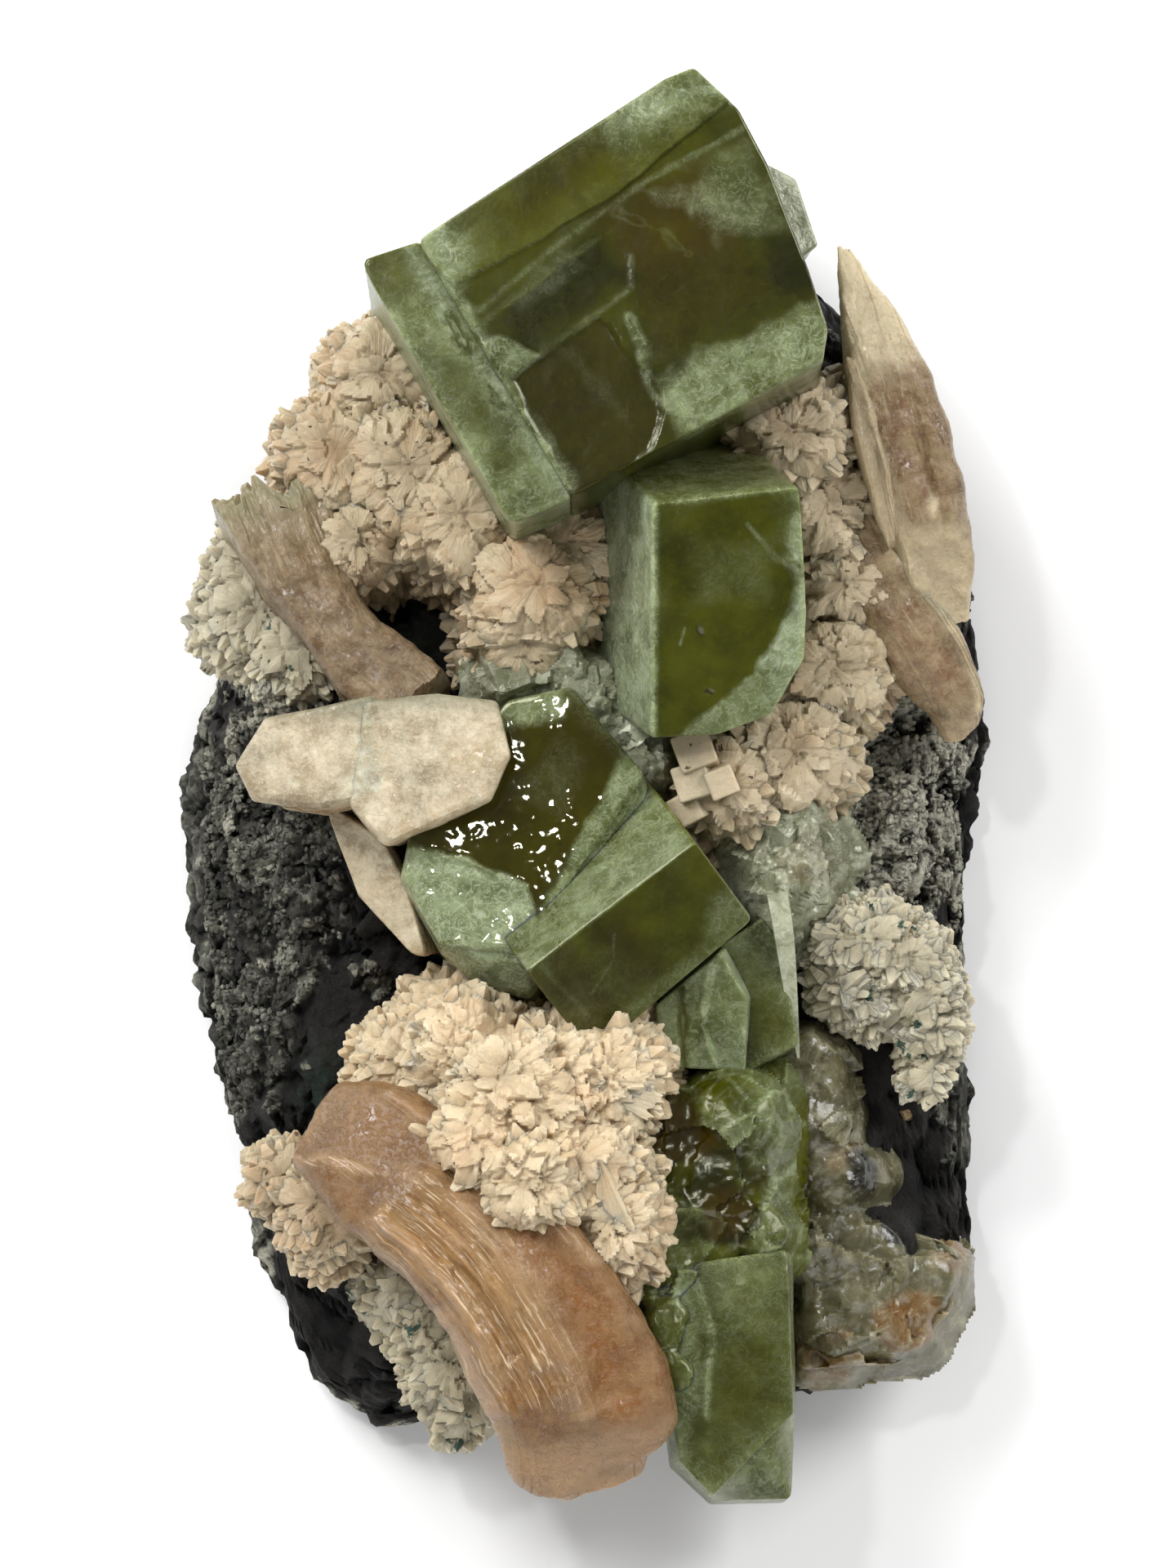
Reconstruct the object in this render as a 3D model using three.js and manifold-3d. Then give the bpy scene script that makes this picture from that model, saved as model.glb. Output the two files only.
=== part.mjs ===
// Apophyllite cluster: green apophyllite blocks, stilbite sheaves and heulandite crusts on basalt.
// Millimetres, +Z up. The specimen lies on the flat cut underside of its rock, at z = 0,
// with its length along +Y. The origin is at the middle of the cluster's box, at the bottom.

import * as THREE from "three";
import { ConvexGeometry } from "three/addons/geometries/ConvexGeometry.js";
import { ImprovedNoise } from "three/addons/math/ImprovedNoise.js";
import { mergeVertices } from "three/addons/utils/BufferGeometryUtils.js";
import Module from "manifold-3d";

const wasm = await Module();
wasm.setup();

const point = (x, y, z) => new THREE.Vector3(x, y, z);
const up = point(0, 0, 1);
const east = point(1, 0, 0);
const noise = new ImprovedNoise();

// ---- Driving dimensions ----

const gap = 0.3; // clear space between neighbours that grew against each other
const layoutMiddle = point(-0.3, -1.9, 0); // middle of the cluster's box in the layout below
const rockLevel = 14; // usual height of the rock's face above its cut underside
const rockRoughness = 2.1; // height of the rock's lumps
const rockLumpSize = 7; // distance between the rock's lumps
const rockSideHeight = 7; // top of the rock's steep sides
const toothHeight = 0.42; // height of a crust's teeth, as a share of its lump's radius
const edgeBevel = 0.35; // worn edge round a block's front face

// ---- Solids: a piece is a list of forms, each the corners of a convex hull or a closed geometry ----

function toSolid(geometry) {
  geometry.deleteAttribute("normal");
  geometry.deleteAttribute("uv");
  const merged = mergeVertices(geometry, 1e-4);
  const vertProperties = new Float32Array(merged.attributes.position.array);
  const triVerts = new Uint32Array(merged.index.array);
  return new wasm.Manifold(new wasm.Mesh({ numProp: 3, vertProperties, triVerts }));
}

function toGeometry(solid) {
  const mesh = solid.getMesh();
  const geometry = new THREE.BufferGeometry();
  geometry.setAttribute("position", new THREE.BufferAttribute(mesh.vertProperties, 3));
  geometry.setIndex(new THREE.BufferAttribute(mesh.triVerts, 1));
  geometry.computeVertexNormals();
  return geometry;
}

function join(forms, extra) {
  const shapes = forms.map((form) => form(extra));
  const solids = shapes.map((shape) => toSolid(shape.isBufferGeometry ? shape : new ConvexGeometry(shape)));
  return solids.reduce((whole, next) => whole.add(next));
}

function largestBody(solid) {
  return solid.decompose().reduce((best, body) => (body.volume() > best.volume() ? body : best));
}

// A seeded generator, so every build grows the same crystals.
function seededRandom(seed) {
  let state = seed * 7919 + 17;
  return () => {
    state = (state * 1664525 + 1013904223) % 4294967296;
    return state / 4294967296;
  };
}

// ---- Forms ----

// Each form is a function of extra, a distance by which its surface moves outwards: the form itself
// has 0, and what has to stay clear of it is cut by a larger copy.

const hull = (corners) => (extra) => (extra > 0 ? spread(corners, extra) : corners);

// Each corner becomes the corners of a small cube, so their hull is larger all round.
function spread(corners, extra) {
  const signs = [-extra, extra];
  const cube = signs.flatMap((x) => signs.flatMap((y) => signs.map((z) => point(x, y, z))));
  return corners.flatMap((corner) => cube.map((offset) => corner.clone().add(offset)));
}

// A crystal block. Its levels are outlines in the axes of its front face, each at a depth behind it.
function block({ centre, facing = up, along = east, levels, bevel = edgeBevel }) {
  const normal = facing.clone().normalize();
  const u = along.clone().addScaledVector(normal, -along.dot(normal)).normalize();
  const w = normal.clone().cross(u);

  const front = levels[0][1];
  const middle = [0, 1].map((axis) => front.reduce((sum, corner) => sum + corner[axis], 0) / front.length);
  const reach = Math.max(...front.map(([a, b]) => Math.hypot(a - middle[0], b - middle[1])));
  const drawIn = (value, axis) => middle[axis] + (value - middle[axis]) * (1 - bevel / reach);
  const worn = [[0, front.map((corner) => corner.map(drawIn))], [bevel, front]];

  const all = [...(bevel > 0 ? worn : [levels[0]]), ...levels.slice(1)];
  const place = (depth) => ([a, b]) =>
    centre.clone().addScaledVector(u, a).addScaledVector(w, b).addScaledVector(normal, -depth);
  return hull(all.flatMap(([depth, outline]) => outline.map(place(depth))));
}

// A closed skin over rings of equally many points, from first to last, with a point at each end.
function skin(rings, start, end) {
  const turns = rings[0].length;
  const vertices = [start, ...rings.flat(), end];
  const at = (ring, turn) => 1 + ring * turns + (turn % turns);
  const faces = [];
  for (let turn = 0; turn < turns; turn += 1) {
    faces.push(0, at(0, turn + 1), at(0, turn));
    for (let ring = 0; ring < rings.length - 1; ring += 1) {
      faces.push(at(ring, turn), at(ring, turn + 1), at(ring + 1, turn + 1));
      faces.push(at(ring, turn), at(ring + 1, turn + 1), at(ring + 1, turn));
    }
    faces.push(at(rings.length - 1, turn), at(rings.length - 1, turn + 1), vertices.length - 1);
  }
  const geometry = new THREE.BufferGeometry().setFromPoints(vertices);
  geometry.setIndex(faces);
  return geometry;
}

// A stilbite sheaf: a bundle along a curved path, ribbed on its crown, with ragged ends.
const sheaf = ({ path, widths, thickness, ribs, ragged, seed }) => (extra) => {
  const random = seededRandom(seed);
  const clear = 2.6 * extra; // the steep, ragged ribs move apart by about a third of this
  const steps = 2 * ribs;
  const heights = Array.from({ length: steps + 1 }, (_, i) => (i % 2 ? 0.75 : -0.35) + 0.4 * random());
  const last = path.length - 1;
  const rings = path.map((centre, i) => {
    const tangent = path[Math.min(i + 1, last)].clone().sub(path[Math.max(i - 1, 0)]).normalize();
    const side = tangent.clone().cross(up).normalize();
    const crown = side.clone().cross(tangent);
    const outward = (i === 0 ? -clear : 0) + (i === last ? clear : 0);
    const isEnd = i === 0 || i === last;
    const at = (across, height) => {
      const slide = outward + (isEnd ? ragged * (random() - 0.5) : 0);
      const reach = across * (widths[i] + 2 * clear);
      const corner = centre.clone().addScaledVector(side, reach).addScaledVector(crown, height);
      return corner.addScaledVector(tangent, slide);
    };
    const ribbed = heights.map((height, step) => {
      const across = step / steps - 0.5;
      return at(across, height - 1.4 * thickness * (isEnd ? 0.5 : 0.28) * across * across + clear);
    });
    return [...ribbed, at(0.42, -thickness - clear), at(-0.42, -thickness - clear)];
  });
  const ends = [rings[0], rings[last]].map((ring) =>
    ring.reduce((sum, corner) => sum.add(corner), point(0, 0, 0)).divideScalar(ring.length)
  );
  return skin(rings, ...ends);
};

// A crust of toothed lumps, given as [x, y, z of its top, radius]. A lump's corners stand out or back.
function crust(lumps, seed) {
  return lumps.map(([x, y, z, radius], index) => (extra) => {
    const random = seededRandom(seed + 100 * index);
    const ball = new THREE.IcosahedronGeometry(1, 1);
    ball.deleteAttribute("normal");
    ball.deleteAttribute("uv");
    const toothed = mergeVertices(ball, 1e-4);
    const { position } = toothed.attributes;
    for (let i = 0; i < position.count; i += 1) {
      const isTooth = random() < 0.5;
      const reach = isTooth ? 1 + toothHeight * (0.4 + 0.6 * random()) : 0.9 + 0.08 * random();
      const corner = new THREE.Vector3().fromBufferAttribute(position, i);
      corner.add(point(random() - 0.5, random() - 0.5, random() - 0.5).multiplyScalar(0.16));
      corner.setLength(radius * reach + 1.3 * extra).add(point(x, y, z - radius));
      position.setXYZ(i, corner.x, corner.y, corner.z);
    }
    return toothed;
  });
}

// ---- Basalt matrix ----

const rockRim = [
  [-16, 47.5], [-23.5, 36], [-28.8, 27.5], [-32.8, 20.6], [-34.2, 13], [-35.9, 5.5], [-36.4, -6.4],
  [-35.2, -19], [-32, -33], [-28.7, -45.6], [-23.5, -54], [-14.8, -58], [-8, -56.5], [3, -53.6],
  [17.7, -53], [28, -52.4], [33.2, -46.6], [34.6, -33], [34.2, -17], [35.2, -0.4], [35.6, 8.5],
  [33.2, 25], [27.5, 39], [20.5, 48.5], [12, 54], [-1.5, 54.5], [-10, 51.5],
];

// Rises and hollows of the rock's face: [x, y, height, spread]
const rockForms = [
  [-18, -11, 7, 9], [-20, 2, 8, 7], [-22, -27, 3, 8], [24, -8, 3, 9], [-23, 29, 7, 9], [-26, 14, 3, 6],
  [24, 38, 7, 9], [31, 15, 5, 8], [28, -32, -5, 6], [0, 45, -3, 12], [-24, -45, -3, 8], [0, -22, 5, 14],
];

function rockHeight(x, y) {
  const rise = (sum, [cx, cy, height, spread]) =>
    sum + height * Math.exp(-((x - cx) ** 2 + (y - cy) ** 2) / spread ** 2);
  const lumps = noise.noise(x / rockLumpSize, y / rockLumpSize, 0.5);
  const chips = noise.noise(x * 0.9, y * 0.9, 3.5);
  return rockForms.reduce(rise, rockLevel) + rockRoughness * (1.4 * lumps + chips);
}

// Rings from the cut underside, up the steep sides and in over the face to its middle.
// extra moves the surface outwards, for what has to stay clear of it.
function rock(extra) {
  const turns = 46;
  const rim = new THREE.CatmullRomCurve3(rockRim.map(([x, y]) => point(x, y, 0)), true);
  const outline = rim.getSpacedPoints(turns).slice(0, turns);
  const rings = [
    { share: 0.965, outward: extra, height: () => -extra },
    { share: 1, outward: extra, height: () => 0.5 * rockSideHeight },
    { share: 0.975, outward: extra, height: () => rockSideHeight + extra },
    { share: 0.93, outward: extra, height: (x, y) => 0.35 * rockSideHeight + 0.6 * rockHeight(x, y) + extra },
    ...[0.84, 0.7, 0.55, 0.4, 0.2].map((share) => ({
      share,
      outward: 0,
      height: (x, y) => rockHeight(x, y) + extra,
    })),
  ];
  const rough = (corner, ring) => rockRoughness * noise.noise(corner.x / 4, corner.y / 4, ring * 0.7);
  const corners = rings.map(({ share, outward, height }, ring) =>
    outline.map((corner) => {
      const direction = corner.clone().normalize();
      const reach = share * corner.length() + rough(corner, ring);
      const place = direction.clone().multiplyScalar(reach);
      return place.setZ(height(place.x, place.y)).addScaledVector(direction, outward);
    })
  );
  return toSolid(skin(corners, point(0, 0, -extra), point(0, 0, rockHeight(0, 0) + extra)));
}

// ---- Apophyllite ----

// Large block with its square face to the front, grown along a narrow parallel crystal.
function upperApophyllite() {
  const centre = point(2, 41, 45);
  const along = point(0.861, 0.509, 0);
  const face = [
    [-12.3, 12.5], [-8.5, 12.7], [13.7, 13.8], [16.4, 13.4], [17.9, 8.2],
    [17.6, 2.6], [15.9, -7.3], [14.7, -12.5], [12.8, -14.8], [-12.3, -13.9],
  ];
  const sideCrystal = [[-17.6, 13.7], [-11.9, 12.5], [-11.9, -14], [-18, -13.2]];
  const upperBand = [[-11, 12.4], [13.5, 13.5], [16.2, 13.1], [17.4, 8.2], [17.2, 4.5], [2, 4], [-8, -1]];
  const lowerStep = [[-9, -13.4], [-9.5, -4.5], [2.5, -1], [5.5, -5], [7, -14.3]];
  return [
    block({ centre: centre.clone().setZ(44.3), along, levels: [[0, face], [34, face]] }),
    block({ centre: centre.clone().setZ(43.2), along, levels: [[0, sideCrystal], [30, sideCrystal]] }),
    block({ centre, along, levels: [[0, upperBand], [3, upperBand]] }),
    block({ centre: centre.clone().setZ(44.8), along, levels: [[0, lowerStep], [3, lowerStep]] }),
  ];
}

// Square prism turned to the right and down, with its lower right corner cut by a sloping face.
function middleApophyllite() {
  const full = [[-7.25, 11.25], [7, 11.25], [7.25, -11.25], [-7.25, -11.25]];
  const front = [[-7.25, 10.4], [6.4, 10.9], [6.9, -0.6], [0.4, -10.4], [-2, -11.2], [-7.25, -11]];
  return [
    block({
      centre: point(12.5, 13.4, 38),
      facing: point(0.309, -0.349, 0.885),
      along: point(0.951, 0.113, -0.2875),
      levels: [[0, front], [10, full], [24, full]],
    }),
  ];
}

// Glossy dark block with a worn lower end, and a tilted block that grew through its side.
function centreApophyllite() {
  const glossyFront = [
    [-10.1, -7.1], [9.2, -7.1], [12.1, 2.8], [7.8, 6.9], [-6.8, 7.3], [-10.3, 5.9], [-13.6, -0.8],
  ];
  const glossyBody = [
    [-12.8, -9.3], [8.2, -9], [12.6, 2.8], [8.2, 7.4], [-6.8, 7.9], [-10.7, 6.2], [-14.1, -0.6], [-14.4, -5],
  ];
  const tilted = [[-9.4, -5.3], [-6, -6.4], [9.2, -5.3], [9.4, 5.3], [-9.4, 5.3]];
  const tiltedBody = [[-9.4, -7.5], [9.2, -7.5], [9.4, 5.3], [-9.4, 5.3]];
  return [
    block({
      centre: point(-6, -4, 32),
      facing: point(-0.13, 0.09, 0.99),
      along: point(0.563, 0.826, 0),
      levels: [[0, glossyFront], [4.5, glossyBody], [22, glossyBody]],
    }),
    block({
      centre: point(4.65, -15.75, 34),
      facing: point(0.347, -0.547, 0.767),
      along: point(0.795, 0.603, 0.071),
      levels: [[0, tilted], [4, tiltedBody], [17, tiltedBody]],
    }),
  ];
}

// Dark block and its pale, cleaved neighbour.
function rightApophyllite() {
  const dark = [[11.7, -15.2], [15.6, -12.5], [17.2, -15.4], [18.8, -23.9], [14, -26.6], [12.5, -21]];
  const pale = [[-3.2, 1.6], [2.6, 6.6], [5, 2.2], [4.8, -4.2], [-3, -4]];
  return [
    block({ centre: point(0, 0, 26), levels: [[0, dark], [16, dark]] }),
    block({
      centre: point(9.2, -22.2, 27),
      facing: point(-0.15, -0.25, 1),
      levels: [[0, pale], [16, pale]],
    }),
  ];
}

// Broken mass with chips, and the long column that runs over the lower edge of the rock.
function lowerApophyllite() {
  const mass = [[3.8, -28], [16.4, -27.2], [17.2, -42.8], [5.2, -45.5]];
  const chip = [[-3, -2], [3.4, -2.6], [3, 2.2], [-2, 2.6]];
  const column = [[5.9, -44], [17.7, -42.3], [18.2, -56.8], [11, -64.2], [8, -61]];
  const columnBody = [[5.4, -44], [18.2, -42.3], [18.4, -56.8], [18, -64.2], [11, -64.4], [7.4, -61]];
  return [
    block({ centre: point(0, 0, 26.5), levels: [[0, mass], [15, mass]] }),
    block({ centre: point(13, -29, 29), facing: point(0.3, 0.25, 1), levels: [[0, chip], [7, chip]] }),
    block({ centre: point(7.4, -30.5, 28.5), facing: point(-0.35, 0.2, 1), levels: [[0, chip], [7, chip]] }),
    block({ centre: point(13, -38, 28), facing: point(0.25, -0.2, 1), levels: [[0, chip], [6, chip]] }),
    block({ centre: point(7.5, -40.5, 28.2), facing: point(-0.2, -0.3, 1), levels: [[0, chip], [6, chip]] }),
    block({ centre: point(0, 0, 28), levels: [[0, column], [3.5, columnBody], [21, columnBody]] }),
  ];
}

function clearTopApophyllite() {
  const tip = [[-2.4, 4.6], [0.4, 3.4], [2.4, -2.6], [-0.5, -5], [-3.4, -4]];
  const body = [[-3, 5], [1, 4], [3, -3], [-4, -5]];
  const facing = point(0.25, 0.1, 1);
  return [block({ centre: point(18.2, 49.5, 34), facing, levels: [[0, tip], [24, body]] })];
}

// Short square prisms, given as [x, y, z, size, lean along x, lean along y, turn].
function clearGroup(crystals) {
  return crystals.map(([x, y, z, size, leanX, leanY, turn]) => {
    const square = (half) => [[-half, -half], [half, -half], [half, half], [-half, half]];
    const tip = square(0.35 * size);
    const body = square(0.5 * size);
    return block({
      centre: point(x, y, z),
      facing: point(leanX, leanY, 1),
      along: point(Math.cos(turn), Math.sin(turn), 0),
      levels: [[0, tip], [size * 0.3, body], [size * 2.6, body]],
      bevel: 0,
    });
  });
}

const clearCrustApophyllite = () =>
  clearGroup([
    [-7, 9, 29, 4.5, -0.3, 0.3, 0.4], [-3.4, 10.2, 30, 4.2, 0.1, 0.4, 1.1], [-0.4, 8, 29, 4.4, 0.2, 0.1, 0.2],
    [2.6, 5.2, 28, 4.6, 0.1, -0.2, 0.8], [4.6, 1.6, 27, 4.4, 0.3, 0.1, 0.5],
  ]);

// Brownish clear crystals, with one long needle leaning against them.
function clearRightApophyllite() {
  const needle = [point(16.4, -11, 26), point(18, -11, 26), point(17, -11, 27.6), point(17.6, -12, 24)];
  const needleFoot = [point(18.2, -24.6, 23.4), point(19.2, -24.6, 23.4), point(18.8, -25.2, 24.2)];
  return [
    ...clearGroup([
      [14.4, -4.6, 25, 5, -0.2, 0.1, 0.5], [17.6, -3, 25, 5.4, 0.2, 0.3, 0.9],
      [20.2, -6, 23.5, 5, 0.4, 0, 0.3], [16.8, -8.2, 26, 5.2, 0, -0.2, 0.7],
      [20, -9.6, 22.5, 4.6, 0.3, -0.2, 0.1], [17, -11.6, 24.4, 3.6, 0, 0, 0.6],
    ]),
    hull([...needle, ...needleFoot]),
  ];
}

// ---- Stilbite ----

const upperLeftStilbite = () => [
  sheaf({
    path: [point(-28.3, 26, 25), point(-23.4, 15, 27.5), point(-16, 6.6, 29)],
    widths: [9, 6.4, 8.2],
    thickness: 11,
    ribs: 5,
    ragged: 1.6,
    seed: 3,
  }),
];

// Tabular crystal of two lobes, with slanted ends and a drawn-in waist.
function leftStilbite() {
  const small = [[-12, 0.4], [-9.4, 4.6], [0.6, 6.6], [1.8, -2.4], [-4.4, -3.6], [-10.4, -2.8]];
  const large = [[-0.8, 6], [6, 6.6], [11.4, 5.8], [12.6, 0.8], [10.8, -3.2], [1.4, -7.2], [-2, -3.4]];
  const foot = (outline) => outline.map(([a, b]) => [a * 0.8, b * 0.8]);
  const facing = point(-0.1, 0.05, 1);
  return [
    block({ centre: point(-19.4, 0.2, 32.4), facing, levels: [[0, small], [10, foot(small)]], bevel: 0.9 }),
    block({ centre: point(-19.4, 0.2, 33.2), facing, levels: [[0, large], [12, foot(large)]], bevel: 0.9 }),
  ];
}

function wedgeStilbite() {
  const face = [[-4.6, 6.4], [0.8, 3.2], [3, -0.8], [5, -7.4], [3.6, -7.2], [-1.4, -2]];
  const facing = point(-0.25, -0.1, 1);
  return [block({ centre: point(-18.8, -8.8, 27.5), facing, levels: [[0, face], [14, face]] })];
}

const rightStilbite = () => [
  sheaf({
    path: [point(23, 46, 26), point(26, 36, 27.5), point(29.6, 20.4, 26.5), point(33.6, 5.6, 21)],
    widths: [3, 8, 10.4, 4.6],
    thickness: 12,
    ribs: 6,
    ragged: 1.8,
    seed: 7,
  }),
];

const lowerStilbite = () => [
  sheaf({
    path: [
      point(-24, -31.6, 31), point(-19, -33.8, 34), point(-8.6, -42.4, 36.5),
      point(-1, -54, 34.5), point(0.2, -62.4, 30),
    ],
    widths: [6, 12, 15.4, 17, 13.6],
    thickness: 15,
    ribs: 7,
    ragged: 1.8,
    seed: 11,
  }),
];

// ---- Heulandite crusts ----

const upperHeulandite = () =>
  crust([
    [-18.6, 36.4, 27.5, 5], [-22.6, 29.6, 27, 5.6], [-16, 27.4, 29.5, 6], [-25, 23.4, 23, 4.4],
    [-12.4, 20, 31, 6], [-5.2, 16.4, 32.5, 6], [-11, 12.8, 29.5, 4.8], [-18.6, 18.6, 27.5, 4.6],
  ], 2);

const rimHeulandite = () =>
  crust([[-30, 15.8, 20, 3.8], [-26, 12.6, 21, 4], [-30.4, 20.4, 19, 3.4]], 4);

const rightHeulandite = () =>
  crust([
    [18.2, 30.4, 32, 4.8], [21.6, 24.6, 29.5, 4.4], [23, 17.6, 27.5, 4.2], [22, 9.6, 27, 4.6],
    [18.6, 2.4, 28, 5], [12.4, -1.2, 29, 4.4],
  ], 6);

const centreHeulandite = () =>
  crust([
    [-17.6, -25, 28.5, 4.4], [-11, -24.6, 33, 5.6], [-6.6, -29.6, 37, 6.2],
    [0.6, -27.6, 34, 5.6], [-1, -35.2, 35, 5.2], [1.6, -39.6, 33, 4],
  ], 8);

const lowRightHeulandite = () =>
  crust([[23.4, -16.4, 21, 4], [28.2, -16.2, 21, 4.2], [30.4, -22, 19, 3.8]], 10);

const lowLeftHeulandite = () => crust([[-26.6, -36.6, 24.5, 3.6], [-23.6, -39.4, 27, 3.6]], 12);

// Small plates and one smooth stubby crystal at the rock's lower left corner.
function cornerHeulandite() {
  const front = [[-4.6, 1.6], [4.8, 2.4], [4.6, -1.8], [-1.5, -3.2], [-4.4, -1.4]];
  const body = [[-5, 2], [5, 2.6], [5, -2.2], [-1.8, -3.6], [-4.8, -1.8]];
  return [
    ...crust([[-15.4, -49.6, 22, 4], [-12.4, -53, 21, 4]], 14),
    block({
      centre: point(-12.4, -57, 18),
      facing: point(0.1, -0.35, 1),
      levels: [[0, front], [9, body]],
      bevel: 0.9,
    }),
  ];
}

// Glassy crust of broken, intergrown crystals.
function lowRightCrust() {
  const floor = [
    [18, -27], [24, -26], [27, -37.5], [33.6, -39.6], [33, -47], [28, -51.8], [18.8, -52.4], [18.6, -42],
  ];
  const crystals = [
    [20.4, -29, 19.5, 6, 0.2, 0.3, 0.3], [21.8, -35, 18.5, 7, 0.3, 0, 0.8],
    [20.8, -41.5, 18, 6.6, 0.2, -0.1, 0.2], [26, -42.5, 17, 7.4, 0.1, 0.2, 0.9],
    [30.4, -44, 15, 6, 0.4, 0, 0.4], [22.4, -48.4, 16.6, 7, 0, -0.3, 0.6],
    [28.4, -48.6, 15, 6.4, 0.2, -0.4, 0.1],
  ];
  const base = block({ centre: point(0, 0, 15.5), levels: [[0, floor], [9, floor]], bevel: 1 });
  return [base, ...clearGroup(crystals)];
}

// ---- Assembly ----

const looks = {
  basalt: { color: 0x3a3a38, roughness: 0.95, metalness: 0 },
  greenApophyllite: { color: 0x5f7434, roughness: 0.15, metalness: 0 },
  clearApophyllite: { color: 0xa9b09c, roughness: 0.2, metalness: 0 },
  peachStilbite: { color: 0xc98a5c, roughness: 0.4, metalness: 0 },
  paleStilbite: { color: 0xcdb79a, roughness: 0.4, metalness: 0 },
  heulandite: { color: 0xdccab0, roughness: 0.6, metalness: 0 },
};

// In the order in which the crystals give way: each is cut by those before it.
const pieces = [
  ["stilbite_left", leftStilbite, looks.paleStilbite],
  ["apophyllite_upper", upperApophyllite, looks.greenApophyllite],
  ["apophyllite_middle", middleApophyllite, looks.greenApophyllite],
  ["apophyllite_centre", centreApophyllite, looks.greenApophyllite],
  ["apophyllite_right", rightApophyllite, looks.greenApophyllite],
  ["stilbite_lower", lowerStilbite, looks.peachStilbite],
  ["apophyllite_lower", lowerApophyllite, looks.greenApophyllite],
  ["stilbite_wedge", wedgeStilbite, looks.paleStilbite],
  ["stilbite_upper_left", upperLeftStilbite, looks.paleStilbite],
  ["stilbite_right", rightStilbite, looks.paleStilbite],
  ["apophyllite_clear_top", clearTopApophyllite, looks.clearApophyllite],
  ["apophyllite_clear_crust", clearCrustApophyllite, looks.clearApophyllite],
  ["apophyllite_clear_right", clearRightApophyllite, looks.clearApophyllite],
  ["heulandite_upper", upperHeulandite, looks.heulandite],
  ["heulandite_rim_left", rimHeulandite, looks.heulandite],
  ["heulandite_right", rightHeulandite, looks.heulandite],
  ["heulandite_centre", centreHeulandite, looks.heulandite],
  ["heulandite_low_right", lowRightHeulandite, looks.heulandite],
  ["heulandite_low_left", lowLeftHeulandite, looks.heulandite],
  ["heulandite_corner", cornerHeulandite, looks.heulandite],
  ["crystal_crust_low_right", lowRightCrust, looks.clearApophyllite],
];

const cluster = new THREE.Group();
cluster.position.copy(layoutMiddle).negate();

function addPiece(name, solid, look) {
  const mesh = new THREE.Mesh(toGeometry(solid), new THREE.MeshStandardMaterial(look));
  mesh.name = name;
  cluster.add(mesh);
}

addPiece("matrix", rock(0), looks.basalt);
let occupied = rock(gap);
for (const [name, grow, look] of pieces) {
  const forms = grow();
  addPiece(name, largestBody(join(forms, 0).subtract(occupied)), look);
  occupied = occupied.add(join(forms, gap));
}

export default cluster;
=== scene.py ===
import itertools
from functools import partial
from math import cos, pi, radians, sin

import bpy
import numpy as np
from mathutils import Matrix, Vector


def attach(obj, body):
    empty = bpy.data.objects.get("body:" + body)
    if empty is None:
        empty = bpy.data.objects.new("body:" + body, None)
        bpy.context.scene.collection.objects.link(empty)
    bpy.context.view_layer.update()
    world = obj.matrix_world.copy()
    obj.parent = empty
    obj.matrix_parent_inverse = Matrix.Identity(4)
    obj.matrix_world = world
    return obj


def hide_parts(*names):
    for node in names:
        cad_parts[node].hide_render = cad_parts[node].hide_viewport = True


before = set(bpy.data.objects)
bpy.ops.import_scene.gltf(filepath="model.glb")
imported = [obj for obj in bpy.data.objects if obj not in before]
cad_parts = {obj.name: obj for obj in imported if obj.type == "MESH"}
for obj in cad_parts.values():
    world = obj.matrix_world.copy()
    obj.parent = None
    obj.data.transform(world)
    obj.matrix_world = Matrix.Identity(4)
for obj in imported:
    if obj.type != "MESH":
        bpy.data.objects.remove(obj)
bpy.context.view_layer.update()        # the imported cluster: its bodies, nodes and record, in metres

mm = 0.001
layoutShift = np.array([0.3, 1.9, 0.0])  # mm, from the layout of the numbers below to the frame's origin
skyward = np.array([0.0, 0.0, 1.0])


# Noise, worked out on whole arrays of points.

def hashed(corner, seed):
    # a number from 0 to 1 for each whole-number corner: the three numbers are multiplied, added and their
    # bits mixed
    x, y, z = (corner[..., axis].astype(np.int64).astype(np.uint32) for axis in range(3))
    mixed = x * np.uint32(374761393) + y * np.uint32(668265263) + z * np.uint32(2246822519)
    mixed = mixed + np.uint32((seed * 3266489917 + 974711) % 2**32)
    mixed = (mixed ^ (mixed >> np.uint32(13))) * np.uint32(1274126177)
    mixed = (mixed ^ (mixed >> np.uint32(15))) * np.uint32(2246822519)
    return (mixed ^ (mixed >> np.uint32(16))).astype(float) / 2**32


def eased(share):
    # 0 below 0, 1 above 1, and an S curve of slope 0 at both ends between
    share = np.clip(share, 0, 1)
    return share * share * (3 - 2 * share)


def waves(points, seed=0):
    # random heights from -1 to 1 at the whole-number corners, eased from corner to corner
    low = np.floor(points)
    part = eased(points - low)
    total = np.zeros(points.shape[:-1])
    for offset in itertools.product((0, 1), repeat=3):
        share = np.prod(np.where(offset, part, 1 - part), axis=-1)
        total += share * hashed(low + offset, seed)
    return 2 * total - 1


def cloud(points, size, octaves=4, seed=0, fade=0.5):
    # waves added up, each octave twice as fine and fade times as high; size is the widest wave in mm
    total, reach = 0, 0
    for octave in range(octaves):
        total = total + fade**octave * waves(points * (2**octave / size) + 19.7 * octave, seed + octave)
        reach += fade**octave
    return total / reach


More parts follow.
